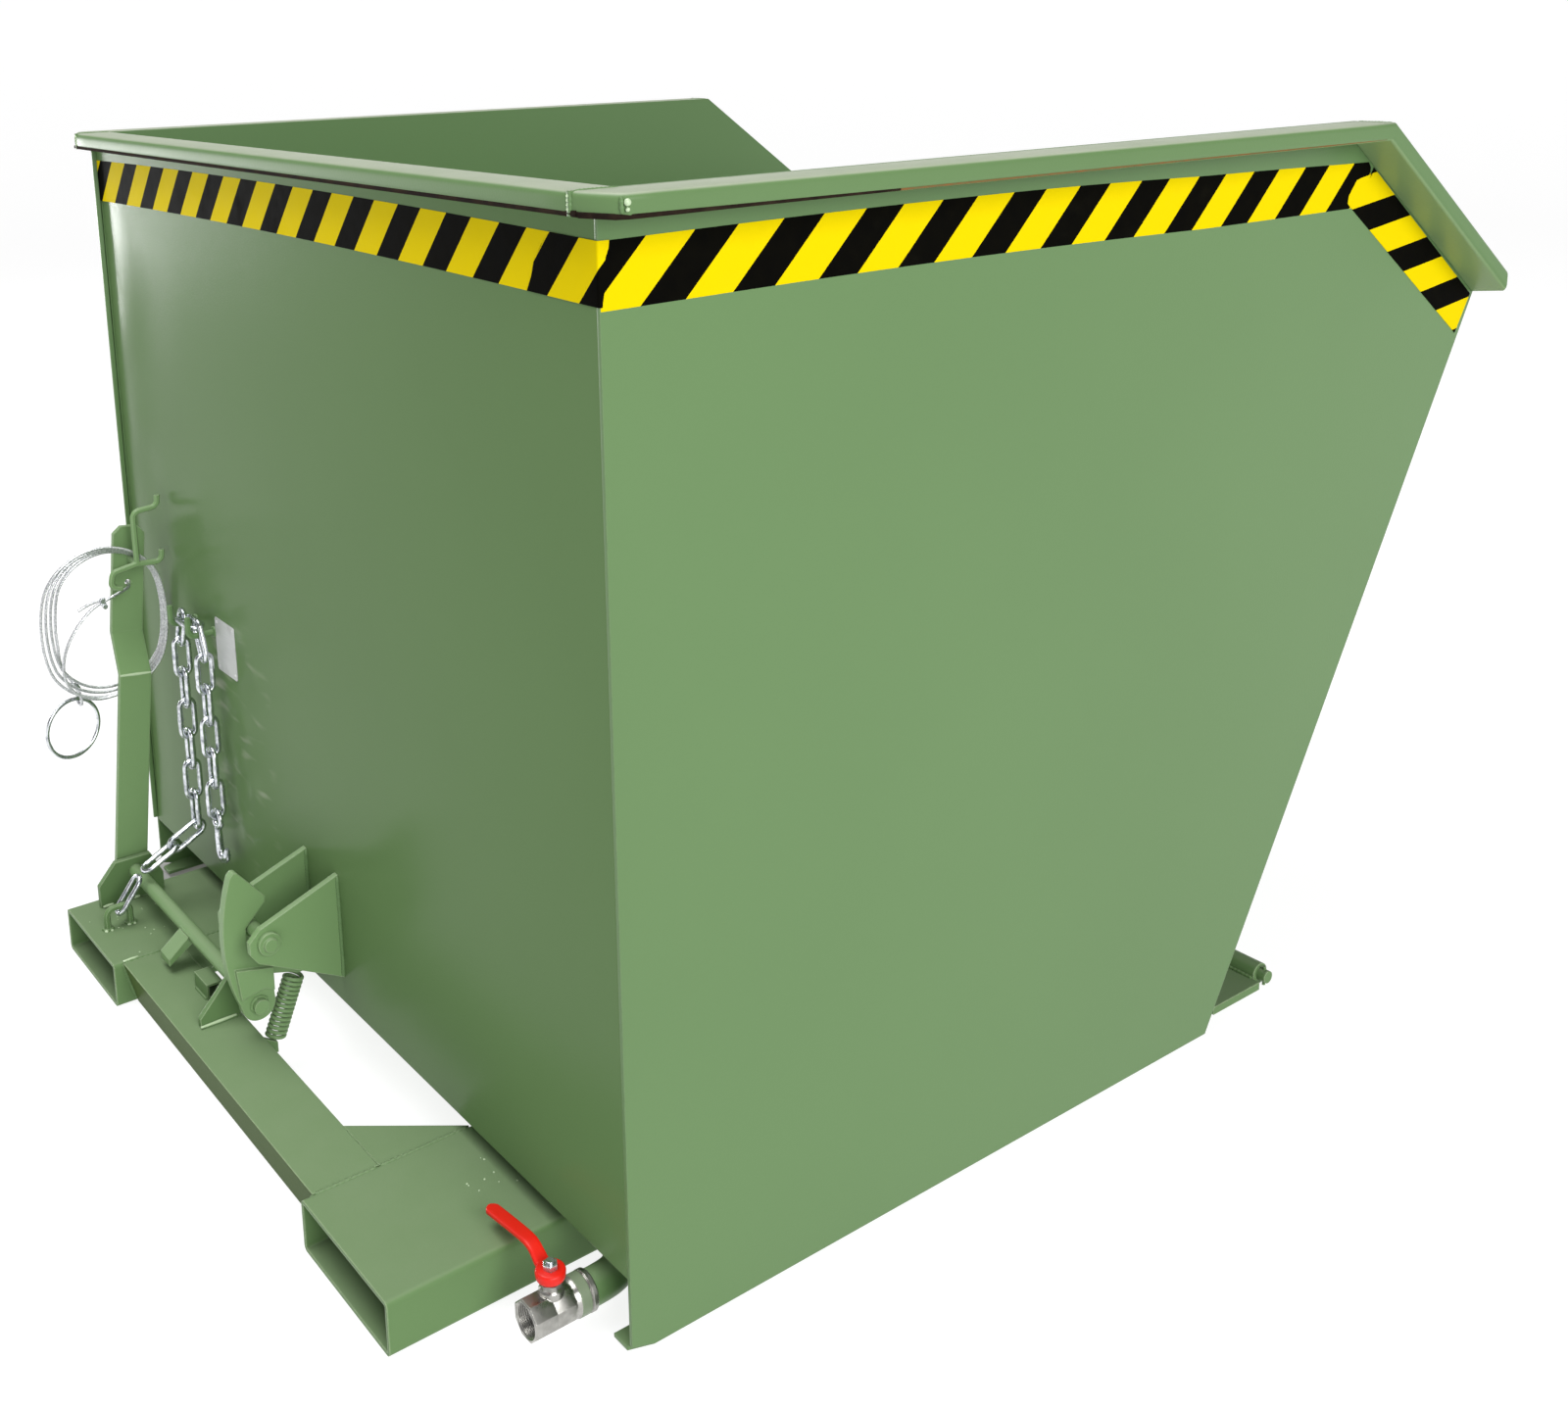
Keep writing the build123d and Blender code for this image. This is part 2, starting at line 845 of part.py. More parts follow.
with BuildPart() as latch_spring:
    with BuildLine() as curls:
        r, hook = spring_radius, spring_hook
        start, stop = spring_body
        pitch = (stop - start) / spring_turns
        bend = hook * sin(pi / 4)
        Line(on_spring(r, hook, spring_wire), on_spring(r, hook, 0))
        ThreePointArc(on_spring(r, hook, 0), on_spring(r, 0, -hook), on_spring(r, -hook, 0))
        Line(on_spring(r, -hook, 0), on_spring(r, -hook, start - hook))
        ThreePointArc(
            on_spring(r, -hook, start - hook),
            on_spring(r, -bend, start - hook + bend),
            on_spring(r, 0, start),
        )
        for turn in range(spring_turns):
            w = start + turn * pitch
            ThreePointArc(
                on_spring(r, 0, w),
                on_spring(0, r, w + pitch / 4),
                on_spring(-r, 0, w + pitch / 2),
            )
            ThreePointArc(
                on_spring(-r, 0, w + pitch / 2),
                on_spring(0, -r, w + 3 * pitch / 4),
                on_spring(r, 0, w + pitch),
            )
        ThreePointArc(
            on_spring(r, 0, stop), on_spring(r, bend, stop + hook - bend), on_spring(r, hook, stop + hook)
        )
        Line(on_spring(r, hook, stop + hook), on_spring(r, hook, spring_length))
        ThreePointArc(
            on_spring(r, hook, spring_length),
            on_spring(r, 0, spring_length + hook),
            on_spring(r, -hook, spring_length),
        )
        Line(on_spring(r, -hook, spring_length), on_spring(r, -hook, spring_length - spring_wire))
    with BuildSketch(Plane(origin=curls.line @ 0, z_dir=curls.line % 0)):
        RegularPolygon(spring_wire / 2, 4)
    sweep()
keep(latch_spring, "latch_spring")
print("spring: least gap to itself", round(least_gap(curls.wire(), spring_wire), 2), "mm")

anchor_thickness = 6

with BuildPart() as spring_anchor:
    with BuildSketch(side_plane(spring_middle + anchor_thickness / 2)):
        with BuildLine():
            Polyline(
                (at(-120), cross_top - plate),
                (at(-cross_inner - 1), cross_top - plate),
                (at(-70), 39),
                (at(-70), 26),
                (at(-84), 26),
                close=True,
            )
        make_face()
    extrude(amount=anchor_thickness)
    with BuildSketch(side_plane(spring_middle + anchor_thickness / 2 + 14)):
        with Locations((at(-spring_foot[0]), spring_foot[1])):
            Circle(spring_pin)
    extrude(amount=14)
keep(spring_anchor, "spring_anchor")

# Catch on the rear wall: two bracket plates with the striker bolt between them

for ending, face in zip(("right", "left"), bracket_faces):
    with BuildPart() as bracket:
        with BuildSketch(side_plane(face + bracket_thickness)):
            with BuildLine():
                Polyline(
                    (at(0), 247),
                    (at(-98), 211),
                    (at(-111), 198),
                    (at(-111), 184),
                    (at(-102), 171),
                    (at(0), 117),
                    close=True,
                )
            make_face()
            with Locations((at(-striker_back), striker_height)):
                Circle(striker_size / 2 + running, mode=Mode.SUBTRACT)
        extrude(amount=bracket_thickness)
    keep(bracket, f"latch_bracket_{ending}")

bolt_nut = (14, 13)
bolt_disc = (13.5, 6)
bolt_stub = 4
bolt_end = bracket_faces[1] + bracket_thickness

with BuildPart() as striker_bolt:
    with BuildSketch(side_plane(bolt_end + 16)):
        with Locations((at(-striker_back), striker_height)):
            Circle(striker_size / 2)
    extrude(amount=bolt_end + 16 - bracket_faces[0] + bolt_disc[1] + bolt_stub)
    with BuildSketch(side_plane(bracket_faces[0])):
        with Locations((at(-striker_back), striker_height)):
            RegularPolygon(bolt_disc[0], 16)
    extrude(amount=bolt_disc[1])
keep(striker_bolt, "striker_bolt")

with BuildPart() as striker_nut:
    with BuildSketch(side_plane(bolt_end + bolt_nut[1])):
        with Locations((at(-striker_back), striker_height)):
            RegularPolygon(bolt_nut[0], 6)
            Circle(striker_size / 2 + running, mode=Mode.SUBTRACT)
    extrude(amount=bolt_nut[1])
keep(striker_nut, "striker_nut")

# Chain: welded links, each at a right angle to its neighbours

link_reach = link_inside + link_wire
bow_middle = link_reach / 2 - link_bow

with BuildPart() as half_link:
    with BuildLine() as bow:
        Polyline(
            (0, -link_bow),
            (bow_middle, -link_bow),
            (bow_middle + link_bow * cos(pi / 4), -link_bow * sin(pi / 4)),
            (bow_middle + link_bow, 0),
            (bow_middle + link_bow * cos(pi / 4), link_bow * sin(pi / 4)),
            (bow_middle, link_bow),
            (0, link_bow),
        )
    with BuildSketch(Plane.YZ):
        with Locations((-link_bow, 0)):
            RegularPolygon(link_wire / 2, 6)
    sweep(transition=Transition.RIGHT)
    mirror(about=Plane.YZ)
one_link = half_link.part


def link_place(tail, direction, across):
    """Where a link lies: its tail bow, the way it runs and the way across its eye."""
    along = Vector(*direction).normalized()
    middle = Vector(*tail) + along * (link_reach / 2)
    return Plane(origin=middle, x_dir=along, z_dir=along.cross(Vector(*across))).location


def next_tail(tail, direction, bend_way):
    """The tail bow of the next link, kept off this one's far bow along the link that the bend lies in."""
    head = Vector(*tail) + Vector(*direction).normalized() * link_reach
    return head - Vector(*bend_way).normalized() * (link_wire + link_slack)


side_on = (0, 1, 0)
eye_y = 372
eye_bar = 9
eye_half = 15
eye_top = 85
eye_back = 136

with BuildPart() as chain_eye:
    add(bar_along(
        [
            (at(-eye_back - eye_half), eye_y, pocket_size[1]),
            (at(-eye_back - eye_half), eye_y, eye_top),
            (at(-eye_back + eye_half), eye_y, eye_top),
            (at(-eye_back + eye_half), eye_y, pocket_size[1]),
        ],
        [10, 10],
        eye_bar,
    ))
keep(chain_eye, "chain_eye")

eye_link_way = (0.6, 0, 0.8)
eye_link_tail = (at(-eye_back), eye_y, 76)

with BuildPart() as eye_link:
    with Locations(link_place(eye_link_tail, eye_link_way, side_on)):
        add(one_link)
keep(eye_link, "eye_link")

strand_y = 376
rise_way = (0.89, 0, 0.456)
first_way = (0, -0.4, 0.917)
bridge_way = (0, -1, 0)
last_way = (0, -0.4, -0.917)
up = (0, 0, 1)
down = (0, 0, -1)
to_wall = (1, 0, 0)
up_links = 6
down_links = 5
hook_seat = 32

places = []
hook_spots = []
eye_link_head = Vector(*eye_link_tail) + Vector(*eye_link_way) * link_reach
tail = eye_link_head + Vector(*rise_way) * (link_wire + link_slack)
tail.Y = strand_y
rise_side = Vector(*rise_way).cross(Vector(*side_on))
places.append(link_place(tail, rise_way, side_on))
tail = next_tail(tail, rise_way, rise_way)
places.append(link_place(tail, rise_way, tuple(rise_side)))
tail = next_tail(tail, rise_way, rise_way)
for number in range(up_links):
    places.append(link_place(tail, up, side_on if number % 2 == 0 else to_wall))
    tail = next_tail(tail, up, up if number < up_links - 1 else first_way)
places.append(link_place(tail, first_way, tuple(Vector(*first_way).cross(Vector(*to_wall)))))
hook_spots.append(tail + Vector(*first_way) * hook_seat)
tail = next_tail(tail, first_way, first_way)
places.append(link_place(tail, bridge_way, to_wall))
tail = next_tail(tail, bridge_way, last_way)
places.append(link_place(tail, last_way, tuple(Vector(*last_way).cross(Vector(*to_wall)))))
hook_spots.append(tail + Vector(*last_way) * (link_reach - hook_seat))
tail = next_tail(tail, last_way, last_way)
for number in range(down_links):
    places.append(link_place(tail, down, to_wall if number % 2 == 0 else side_on))
    if number < down_links - 1:
        tail = next_tail(tail, down, down)
chain_end = tail + Vector(*down) * link_reach

with BuildPart() as safety_chain:
    with Locations(*places):
        add(one_link)
keep(safety_chain, "safety_chain")

# Wall hooks that carry the chain, and the open hook on its end

hook_bar = 8
hook_out = 34

for ending, spot in zip(("left", "right"), hook_spots):
    lifted = spot.Z + 1.5
    with BuildPart() as wall_hook:
        add(bar_along(
            [(at(0), spot.Y, lifted), (at(-hook_out), spot.Y, lifted), (at(-hook_out), spot.Y, lifted + 26)],
            [9],
            hook_bar,
        ))
    keep(wall_hook, f"chain_hook_{ending}")

hook_eye = (14, 7.5)
hook_bowl = (16, 7)
hook_thickness = 9
hook_drop = 40
hook_tip = 4
eye_centre = chain_end - Vector(0, 0, 1.5)
bowl_shift = (hook_bowl[0] + hook_bowl[1]) / 2
bowl_centre = eye_centre + Vector(0, -bowl_shift, -hook_drop)

with BuildPart() as chain_end_hook:
    with BuildSketch(Plane.YZ.offset(eye_centre.X - hook_thickness / 2)):
        outer, inner = hook_bowl
        with Locations((eye_centre.Y, eye_centre.Z)):
            Circle(hook_eye[0])
        with Locations((eye_centre.Y, eye_centre.Z - hook_drop / 2)):
            Rectangle(outer - inner, hook_drop)
        with Locations((bowl_centre.Y, bowl_centre.Z)):
            Circle(outer)
            Circle(inner, mode=Mode.SUBTRACT)
        with Locations((bowl_centre.Y + (inner - outer) / 2, bowl_centre.Z + hook_tip + outer / 2)):
            Rectangle(outer + inner, outer, mode=Mode.SUBTRACT)
        with Locations((eye_centre.Y, eye_centre.Z)):
            Circle(hook_eye[1], mode=Mode.SUBTRACT)
    extrude(amount=hook_thickness)
keep(chain_end_hook, "chain_end_hook")

# Drain: mitred pipe from the floor to a ball valve behind the rear wall

valve_back = 3

with BuildPart() as drain_pipe:
    with BuildLine() as flow:
        Polyline(
            (at(drain_inlet), drain_side, floor_height),
            (at(drain_inlet), drain_side, drain_height),
            (at(-valve_back), drain_side, drain_height),
        )
    with BuildSketch(Plane(origin=flow.line @ 0, z_dir=flow.line % 0)):
        Circle(pipe_size / 2)
        Circle(pipe_bore / 2, mode=Mode.SUBTRACT)
    sweep(transition=Transition.RIGHT)
keep(drain_pipe, "drain_pipe")

collar = 22
collar_length = 15
waist = 19
belly = 23
belly_half = 15
valve_bore = 12.5
valve_thread = (15.1, 12)
stem_top = 73
neck_top = 64

with BuildPart() as valve_body:
    with BuildSketch(Plane.YZ.offset(at(-valve_mouth)), Plane.YZ.offset(at(-valve_back - collar_length))):
        with Locations((drain_side, drain_height)):
            RegularPolygon(collar, 8)
    extrude(amount=collar_length)
    with BuildSketch(Plane.YZ.offset(at(collar_length - valve_mouth))):
        with Locations((drain_side, drain_height)):
            Circle(waist)
    extrude(amount=valve_mouth - valve_back - 2 * collar_length)
    with BuildSketch(Plane.YZ.offset(at(-stem_back - belly_half))):
        with Locations((drain_side, drain_height)):
            Circle(belly)
    extrude(amount=2 * belly_half)
    with Locations((at(-stem_back), drain_side, (drain_height + neck_top) / 2)):
        Cylinder(10, neck_top - drain_height)
    with Locations(Location((at(-valve_mouth / 2), drain_side, drain_height), (0, 90, 0))):
        Cylinder(valve_bore, valve_mouth + 10, mode=Mode.SUBTRACT)
    thread_radius, thread_depth = valve_thread
    with BuildSketch(Plane.YZ.offset(at(-valve_mouth))):
        with Locations((drain_side, drain_height)):
            Circle(thread_radius)
    extrude(amount=thread_depth, mode=Mode.SUBTRACT)
    with Locations((at(-stem_back), drain_side, drain_height)):
        Sphere(ball_radius + 0.4, mode=Mode.SUBTRACT)
    with Locations((at(-stem_back), drain_side, drain_height + 20)):
        Cylinder(stem_size / 2 + running, 40, mode=Mode.SUBTRACT)
keep(valve_body, "valve_body")

# Tap: ball, stem, lever and nut turn together

with BuildPart() as valve_ball:
    with Locations((at(-stem_back), drain_side, drain_height)):
        Sphere(ball_radius)
    with Locations(Location((at(-stem_back), drain_side, drain_height), (90, 0, 0))):
        Cylinder(valve_bore, 3 * ball_radius, mode=Mode.SUBTRACT)
    with Locations((at(-stem_back), drain_side, drain_height + ball_radius)):
        Cylinder(stem_size / 2 + running, 8, mode=Mode.SUBTRACT)
keep(valve_ball, "valve_ball")

thread_top = 86
thread_size = 8

with BuildPart() as valve_stem:
    with BuildSketch(Plane.XY.offset(drain_height + ball_radius - 3.9)):
        with Locations((at(-stem_back), drain_side)):
            Circle(stem_size / 2)
    extrude(amount=stem_top - drain_height - ball_radius + 3.9)
    with BuildSketch(Plane.XY.offset(stem_top)):
        with Locations((at(-stem_back), drain_side)):
            Circle(thread_size / 2)
    extrude(amount=thread_top - stem_top)
keep(valve_stem, "valve_stem")

handle_width = 18
handle_sheet = 4
handle_step = 16
handle_drop = 7
handle_bends = (11, 30)
handle_heel = 13
handle_length = 108

handle_plane = Plane(origin=(at(-stem_back), drain_side, stem_top), x_dir=(0, 1, 0), z_dir=(1, 0, 0))

with BuildPart() as tap_handle:
    with BuildSketch(handle_plane):
        with BuildLine():
            low, high = handle_bends
            Polyline(
                (-handle_heel, 0),
                (low, 0),
                (high, handle_step),
                (handle_length, handle_step - handle_drop),
                (handle_length, handle_step - handle_drop + handle_sheet),
                (high - 1.5, handle_step + handle_sheet),
                (low - 1.5, handle_sheet),
                (-handle_heel, handle_sheet),
                close=True,
            )
        make_face()
    extrude(amount=handle_width / 2, both=True)
    fillet(tap_handle.edges().filter_by(Axis.Z), 8)
    with Locations((at(-stem_back), drain_side, stem_top)):
        Cylinder(thread_size / 2 + running, 20, mode=Mode.SUBTRACT)
keep(tap_handle, "tap_handle")

with BuildPart() as handle_nut:
    with BuildSketch(Plane.XY.offset(stem_top + handle_sheet)):
        with Locations((at(-stem_back), drain_side)):
            RegularPolygon(7.5, 6)
            Circle(thread_size / 2 + running, mode=Mode.SUBTRACT)
    extrude(amount=6)
keep(handle_nut, "handle_nut")

# Rating plate on the rear wall, bare

rating_middle = (269, 438)
rating_size = (62, 70)

with BuildPart() as rating_plate:
    with BuildSketch(Plane.YZ.offset(at(-1))):
        with Locations(rating_middle):
            RectangleRounded(*rating_size, 4)
    extrude(amount=1)
keep(rating_plate, "rating_plate")
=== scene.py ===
# %% [markdown]
# # A tipping container for forklift trucks
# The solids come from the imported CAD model, in metres: +Z up, +X the pouring side, -X the truck's side.
# This lesson dresses them: camera and stage first, then the pull cable, then the finishes, then the pieces
# that plain solids cannot show, such as a dented sheet, hazard tape, weld beads and bent wire.

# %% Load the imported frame
import json
import random
from math import ceil, cos, exp, hypot, pi, radians, sin

import bmesh
import bpy
import numpy as np
from mathutils import Matrix, Vector, noise


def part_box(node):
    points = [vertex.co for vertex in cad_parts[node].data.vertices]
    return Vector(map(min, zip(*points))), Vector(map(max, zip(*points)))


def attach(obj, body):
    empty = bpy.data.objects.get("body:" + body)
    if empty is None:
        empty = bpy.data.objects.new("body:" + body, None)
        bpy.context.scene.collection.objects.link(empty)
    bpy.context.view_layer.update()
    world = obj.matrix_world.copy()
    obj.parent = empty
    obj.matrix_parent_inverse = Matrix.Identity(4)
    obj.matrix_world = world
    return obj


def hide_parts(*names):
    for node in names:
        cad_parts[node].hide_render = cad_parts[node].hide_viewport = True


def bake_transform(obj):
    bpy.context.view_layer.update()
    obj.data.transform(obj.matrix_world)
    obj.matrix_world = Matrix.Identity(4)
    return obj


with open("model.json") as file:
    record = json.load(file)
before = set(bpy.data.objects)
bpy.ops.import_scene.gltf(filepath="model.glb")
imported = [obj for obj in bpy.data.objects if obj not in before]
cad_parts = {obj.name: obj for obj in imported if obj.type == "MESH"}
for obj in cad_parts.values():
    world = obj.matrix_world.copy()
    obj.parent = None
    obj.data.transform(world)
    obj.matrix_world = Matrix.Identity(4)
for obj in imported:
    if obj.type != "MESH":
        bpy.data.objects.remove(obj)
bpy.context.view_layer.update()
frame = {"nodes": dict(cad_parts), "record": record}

# %% [markdown]
# ## Places
# The CAD source measures along X from the outer face of the rear wall, in millimetres. The same way of
# saying where something is keeps the two files easy to compare.

# %% Places in millimetres from the rear wall
rear_wall_x = -567


def spot(reach, y, z):
    """A point given in millimetres, X from the rear wall's outer face."""
    return Vector(((rear_wall_x + reach) / 1000, y / 1000, z / 1000))


print("rear wall at x =", spot(0, 0, 0).x)

# %% [markdown]
# ## Camera
# The photograph was taken from behind the container, to its right and a little above its rim. The edges of
# the trough gave the direction, the focal length and the point where the lens axis meets the picture. That
# point is not the middle of the picture, because it was cropped, so the camera gets a shift.

# %% Camera at the photograph's place
photo_size = (1600, 1438)
focal_pixels = 1760.9
axis_pixel = (680.5, 413.6)
camera_place = (-1.318, -1.726, 1.194)
heading, pitch, roll = radians(35.887), radians(12.489), radians(-1.341)

forward = Vector((cos(pitch) * sin(heading), cos(pitch) * cos(heading), -sin(pitch)))
level = forward.cross(Vector((0, 0, 1))).normalized()
camera_right = level * cos(roll) + level.cross(forward) * sin(roll)
camera_up = camera_right.cross(forward)

camera_data = bpy.data.cameras.new("photo_camera")
camera_data.sensor_width = 36
camera_data.lens = camera_data.sensor_width * focal_pixels / photo_size[0]
camera_data.shift_x = 0.5 - axis_pixel[0] / photo_size[0]
camera_data.shift_y = (axis_pixel[1] - photo_size[1] / 2) / photo_size[0]
camera = bpy.data.objects.new("photo_camera", camera_data)
camera.matrix_world = (
    Matrix.Translation(camera_place)
    @ Matrix((camera_right, camera_up, -forward)).transposed().to_4x4()
)
bpy.context.scene.collection.objects.link(camera)
bpy.context.scene.camera = camera
print("lens", round(camera_data.lens, 2), "mm")

# %% [markdown]
# ## Shapes in mesh code
# Most pieces are rows of rings: a bent bar is a circle carried along a line, a turned part is a circle that
# grows and shrinks along its axis, and a strip of tape is a flat ring carried along a wall. One small class
# collects the rings and makes the Blender object. Frames that are carried along the line without twisting
# keep a bar from wringing itself like a wet cloth.

# %% A collector of rings


def carried_frames(line, closed=False):
    """Tangent and two crosswise directions at each point of a line, carried along without twist."""
    count = len(line)
    tangents = []
    for i in range(count):
        before = line[i - 1] if closed or i else line[0]
        after = line[(i + 1) % count] if closed or i < count - 1 else line[-1]
        tangents.append((after - before).normalized())
    across = tangents[0].orthogonal().normalized()
    frames = []
    for tangent in tangents:
        across = (across - tangent * across.dot(tangent)).normalized()
        frames.append((tangent, across, tangent.cross(across)))
    return frames


class Shape:
    """The corners and faces of one piece, collected ring by ring."""

    def __init__(self):
        self.corners = []
        self.faces = []

    def rings(self, rings, closed=False):
        """Joins rings of equal count with quads, and closes the two ends."""
        start, count = len(self.corners), len(rings[0])
        for ring in rings:
            self.corners.extend(ring)
        for i in range(len(rings) if closed else len(rings) - 1):
            here, there = start + i * count, start + (i + 1) % len(rings) * count
            for k in range(count):
                turn = (k + 1) % count
                self.faces.append((here + k, here + turn, there + turn, there + k))
        if not closed:
            last = start + (len(rings) - 1) * count
            self.faces.append(tuple(start + k for k in reversed(range(count))))
            self.faces.append(tuple(last + k for k in range(count)))
        return self

    def bar(self, line, radius, sides=12, closed=False, phase=0.0):
        """A round bar along a line; the radius is one number, or one for each point."""
        sizes = radius if hasattr(radius, "__len__") else [radius] * len(line)
        rows = []
        for (tangent, across, beside), point, size in zip(carried_frames(line, closed), line, sizes):
            turns = [phase + 2 * pi * k / sides for k in range(sides)]
            rows.append([point + (across * cos(t) + beside * sin(t)) * size for t in turns])
        return self.rings(rows, closed)

    def turned(self, start, axis, steps, sides=32, flats=0):
        """A turned part; steps are distances along the axis and radii in mm, and the distance of flats if any."""
        axis = Vector(axis).normalized()
        across = axis.orthogonal().normalized()
        beside = axis.cross(across)
        rows = []
        for along, radius, *flat in steps:
            row = []
            for k in range(sides):
                turn = 2 * pi * k / sides
                size = radius
                if flat:
                    part = 2 * pi / flats
                    size = min(radius, flat[0] / cos((turn + part / 2) % part - part / 2))
                row.append(start + (axis * along + (across * cos(turn) + beside * sin(turn)) * size) / 1000)
            rows.append(row)
        return self.rings(rows)

    def piece(self, name, body, slot, finish, replaced=(), sharp=40):
        """Makes the object, smooth except over sharp edges, and puts it on its body."""
        mesh = bpy.data.meshes.new(name)
        mesh.from_pydata(self.corners, [], self.faces)
        work = bmesh.new()
        work.from_mesh(mesh)
        bmesh.ops.recalc_face_normals(work, faces=work.faces)
        work.to_mesh(mesh)
        work.free()
        mesh.shade_smooth()
        mesh.set_sharp_from_angle(angle=radians(sharp))
        mesh.materials.append(finish)
        thing = bpy.data.objects.new(name, mesh)
        bpy.context.scene.collection.objects.link(thing)
        if replaced:
            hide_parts(*replaced)
        if body:
            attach(thing, body)
        print(name, "faces", len(mesh.polygons))
        return thing


# %% [markdown]
# ## Shader sums
# A finish is easier to read as sums than as boxes and strings. A small class wraps an output socket: adding,
# multiplying or comparing two of them adds a Math node. Any other node comes from one method that takes its
# type, its settings and its sockets. Colours are blended with Mix nodes, since a Math node turns them grey.

# %% A field, which can be used in sums


class Field:
    """A value, colour or vector on a surface: an output socket that can be used in sums."""

    def __init__(self, finish, socket):
        self.finish = finish
        self.socket = socket

    def sum(self, operation, first, second):
        return self.finish.node("ShaderNodeMath", {"operation": operation}, {0: first, 1: second})

    def __add__(self, other):
        return self.sum("ADD", self, other)

    __radd__ = __add__

    def __sub__(self, other):
        return self.sum("SUBTRACT", self, other)

    def __rsub__(self, other):
        return self.sum("SUBTRACT", other, self)

    def __mul__(self, other):
        return self.sum("MULTIPLY", self, other)

    __rmul__ = __mul__

    def __truediv__(self, other):
        return self.sum("DIVIDE", self, other)

    def __rtruediv__(self, other):
        return self.sum("DIVIDE", other, self)

    def __mod__(self, other):
        return self.sum("FLOORED_MODULO", self, other)

    def __rmod__(self, other):
        return self.sum("FLOORED_MODULO", other, self)

    def __gt__(self, other):
        return self.sum("GREATER_THAN", self, other)

    def __lt__(self, other):
        return self.sum("LESS_THAN", self, other)


# %% A finish, which makes nodes


class Finish:
    """A procedural material around one shader."""

    def __init__(self, name):
        self.material = bpy.data.materials.new(name)
        self.material.use_nodes = True
        self.tree = self.material.node_tree
        self.shader = self.tree.nodes["Principled BSDF"]
        self.place = self.node("ShaderNodeTexCoord", {}, {}, "Object")

    def node(self, kind, settings, sockets, output=0):
        """Any node: its settings first, then the values or links of its sockets."""
        item = self.tree.nodes.new(kind)
        for key, value in settings.items():
            setattr(item, key, value)
        self.fill(item, sockets)
        return Field(self, item.outputs[output])

    def fill(self, item, sockets):
        for key, value in sockets.items():
            if isinstance(value, Field):
                self.tree.links.new(value.socket, item.inputs[key])
            else:
                item.inputs[key].default_value = value

    def surface(self, sockets):
        """Sets or links the shader's own sockets and gives the material."""
        self.fill(self.shader, sockets)
        return self.material

    def mix(self, factor, first, second):
        """A colour between two colours."""
        return self.node("ShaderNodeMix", {"data_type": "RGBA"}, {0: factor, 6: first, 7: second}, 2)

    def cloud(self, scale, detail=3.0, rough=0.5, place=None):
        """Soft noise from 0 to 1; the scale is the number of blobs in a metre."""
        sockets = {"Vector": place or self.place, "Scale": scale, "Detail": detail, "Roughness": rough}
        return self.node("ShaderNodeTexNoise", {}, sockets)

    def ramp(self, value, low, high):
        """0 below one value and 1 above another, smooth between them."""
        settings = {"interpolation_type": "SMOOTHSTEP"}
        return self.node("ShaderNodeMapRange", settings, {"Value": value, "From Min": low, "From Max": high})

    def vectors(self, operation, first, second, output="Value"):
        """A sum of two vectors."""
        return self.node("ShaderNodeVectorMath", {"operation": operation}, {0: first, 1: second}, output)

    def along(self, direction):
        """How far the surface point lies along a direction, in metres."""
        return self.vectors("DOT_PRODUCT", self.place, direction)

    def facing(self, normal, direction):
        """How squarely the surface faces a direction: 1 is straight at it, -1 is straight away."""
        return self.vectors("DOT_PRODUCT", normal, direction)

    def stretched(self, scale):
        """The place with each axis scaled, for grain that runs one way."""
        return self.vectors("MULTIPLY", self.place, scale, "Vector")

    def rounded(self, radius):
        """Normals as if every edge were rounded."""
        return self.node("ShaderNodeBevel", {"samples": 6}, {"Radius": radius})

    def edge(self, normal):
        """How near an edge the place is: how far its rounded normal leaves the plain one."""
        plain = self.node("ShaderNodeNewGeometry", {}, {}, "Normal")
        return self.vectors("DISTANCE", normal, plain)

    def bump(self, height, depth, normal=None):
        """A bumpy normal; the depth is in metres."""
        sockets = {"Height": height, "Distance": depth, "Strength": 1.0}
        if normal:
            sockets["Normal"] = normal
        return self.node("ShaderNodeBump", {}, sockets)


# %% Colours


def colour(red, green, blue):
    """A screen colour of 0 to 255 as the linear colour that a shader takes."""

    def linear(value):
        value /= 255
        return value / 12.92 if value <= 0.04045 else ((value + 0.055) / 1.055) ** 2.4

    return (linear(red), linear(green), linear(blue), 1)


print("green as a shader colour:", [round(part, 3) for part in colour(122, 157, 113)])

# %% [markdown]
# ## Stage
# A photographer would put the container on a white sweep: a floor that curves up into a wall, so no corner
# shows. Here the sweep goes all round like a shallow bowl, and the container can be looked at from any side.
# The sweep glows a little, so it stays white like a cut-out picture; under the trough beside the left fork pocket
# its glow is turned down to dark grey, a painted shadow.
# A large soft light from the right and one above give the paint its even look. A third, far to the left,
# shows only as a glare on the left edge of the rear wall.

# %% White sweep
sweep_flat, sweep_radius, sweep_bend = 4.0, 9.0, 3.5
sweep_sides, bend_parts = 96, 12
sweep_line = [(sweep_flat, 0.0), (sweep_radius, 0.0)]
for step in range(1, bend_parts + 1):
    turn = step * pi / (2 * bend_parts)
    sweep_line.append((sweep_radius + sweep_bend * sin(turn), sweep_bend * (1 - cos(turn))))
sweep_turns = [2 * pi * k / sweep_sides for k in range(sweep_sides)]
sweep_rows = [[Vector((reach * cos(t), reach * sin(t), rise)) for t in sweep_turns] for reach, rise in sweep_line]
sweep_shape = Shape().rings(sweep_rows)
sweep_shape.faces.pop()
sweep_mesh = bpy.data.meshes.new("sweep")
sweep_mesh.from_pydata(sweep_shape.corners, [], sweep_shape.faces)
sweep_mesh.shade_smooth()
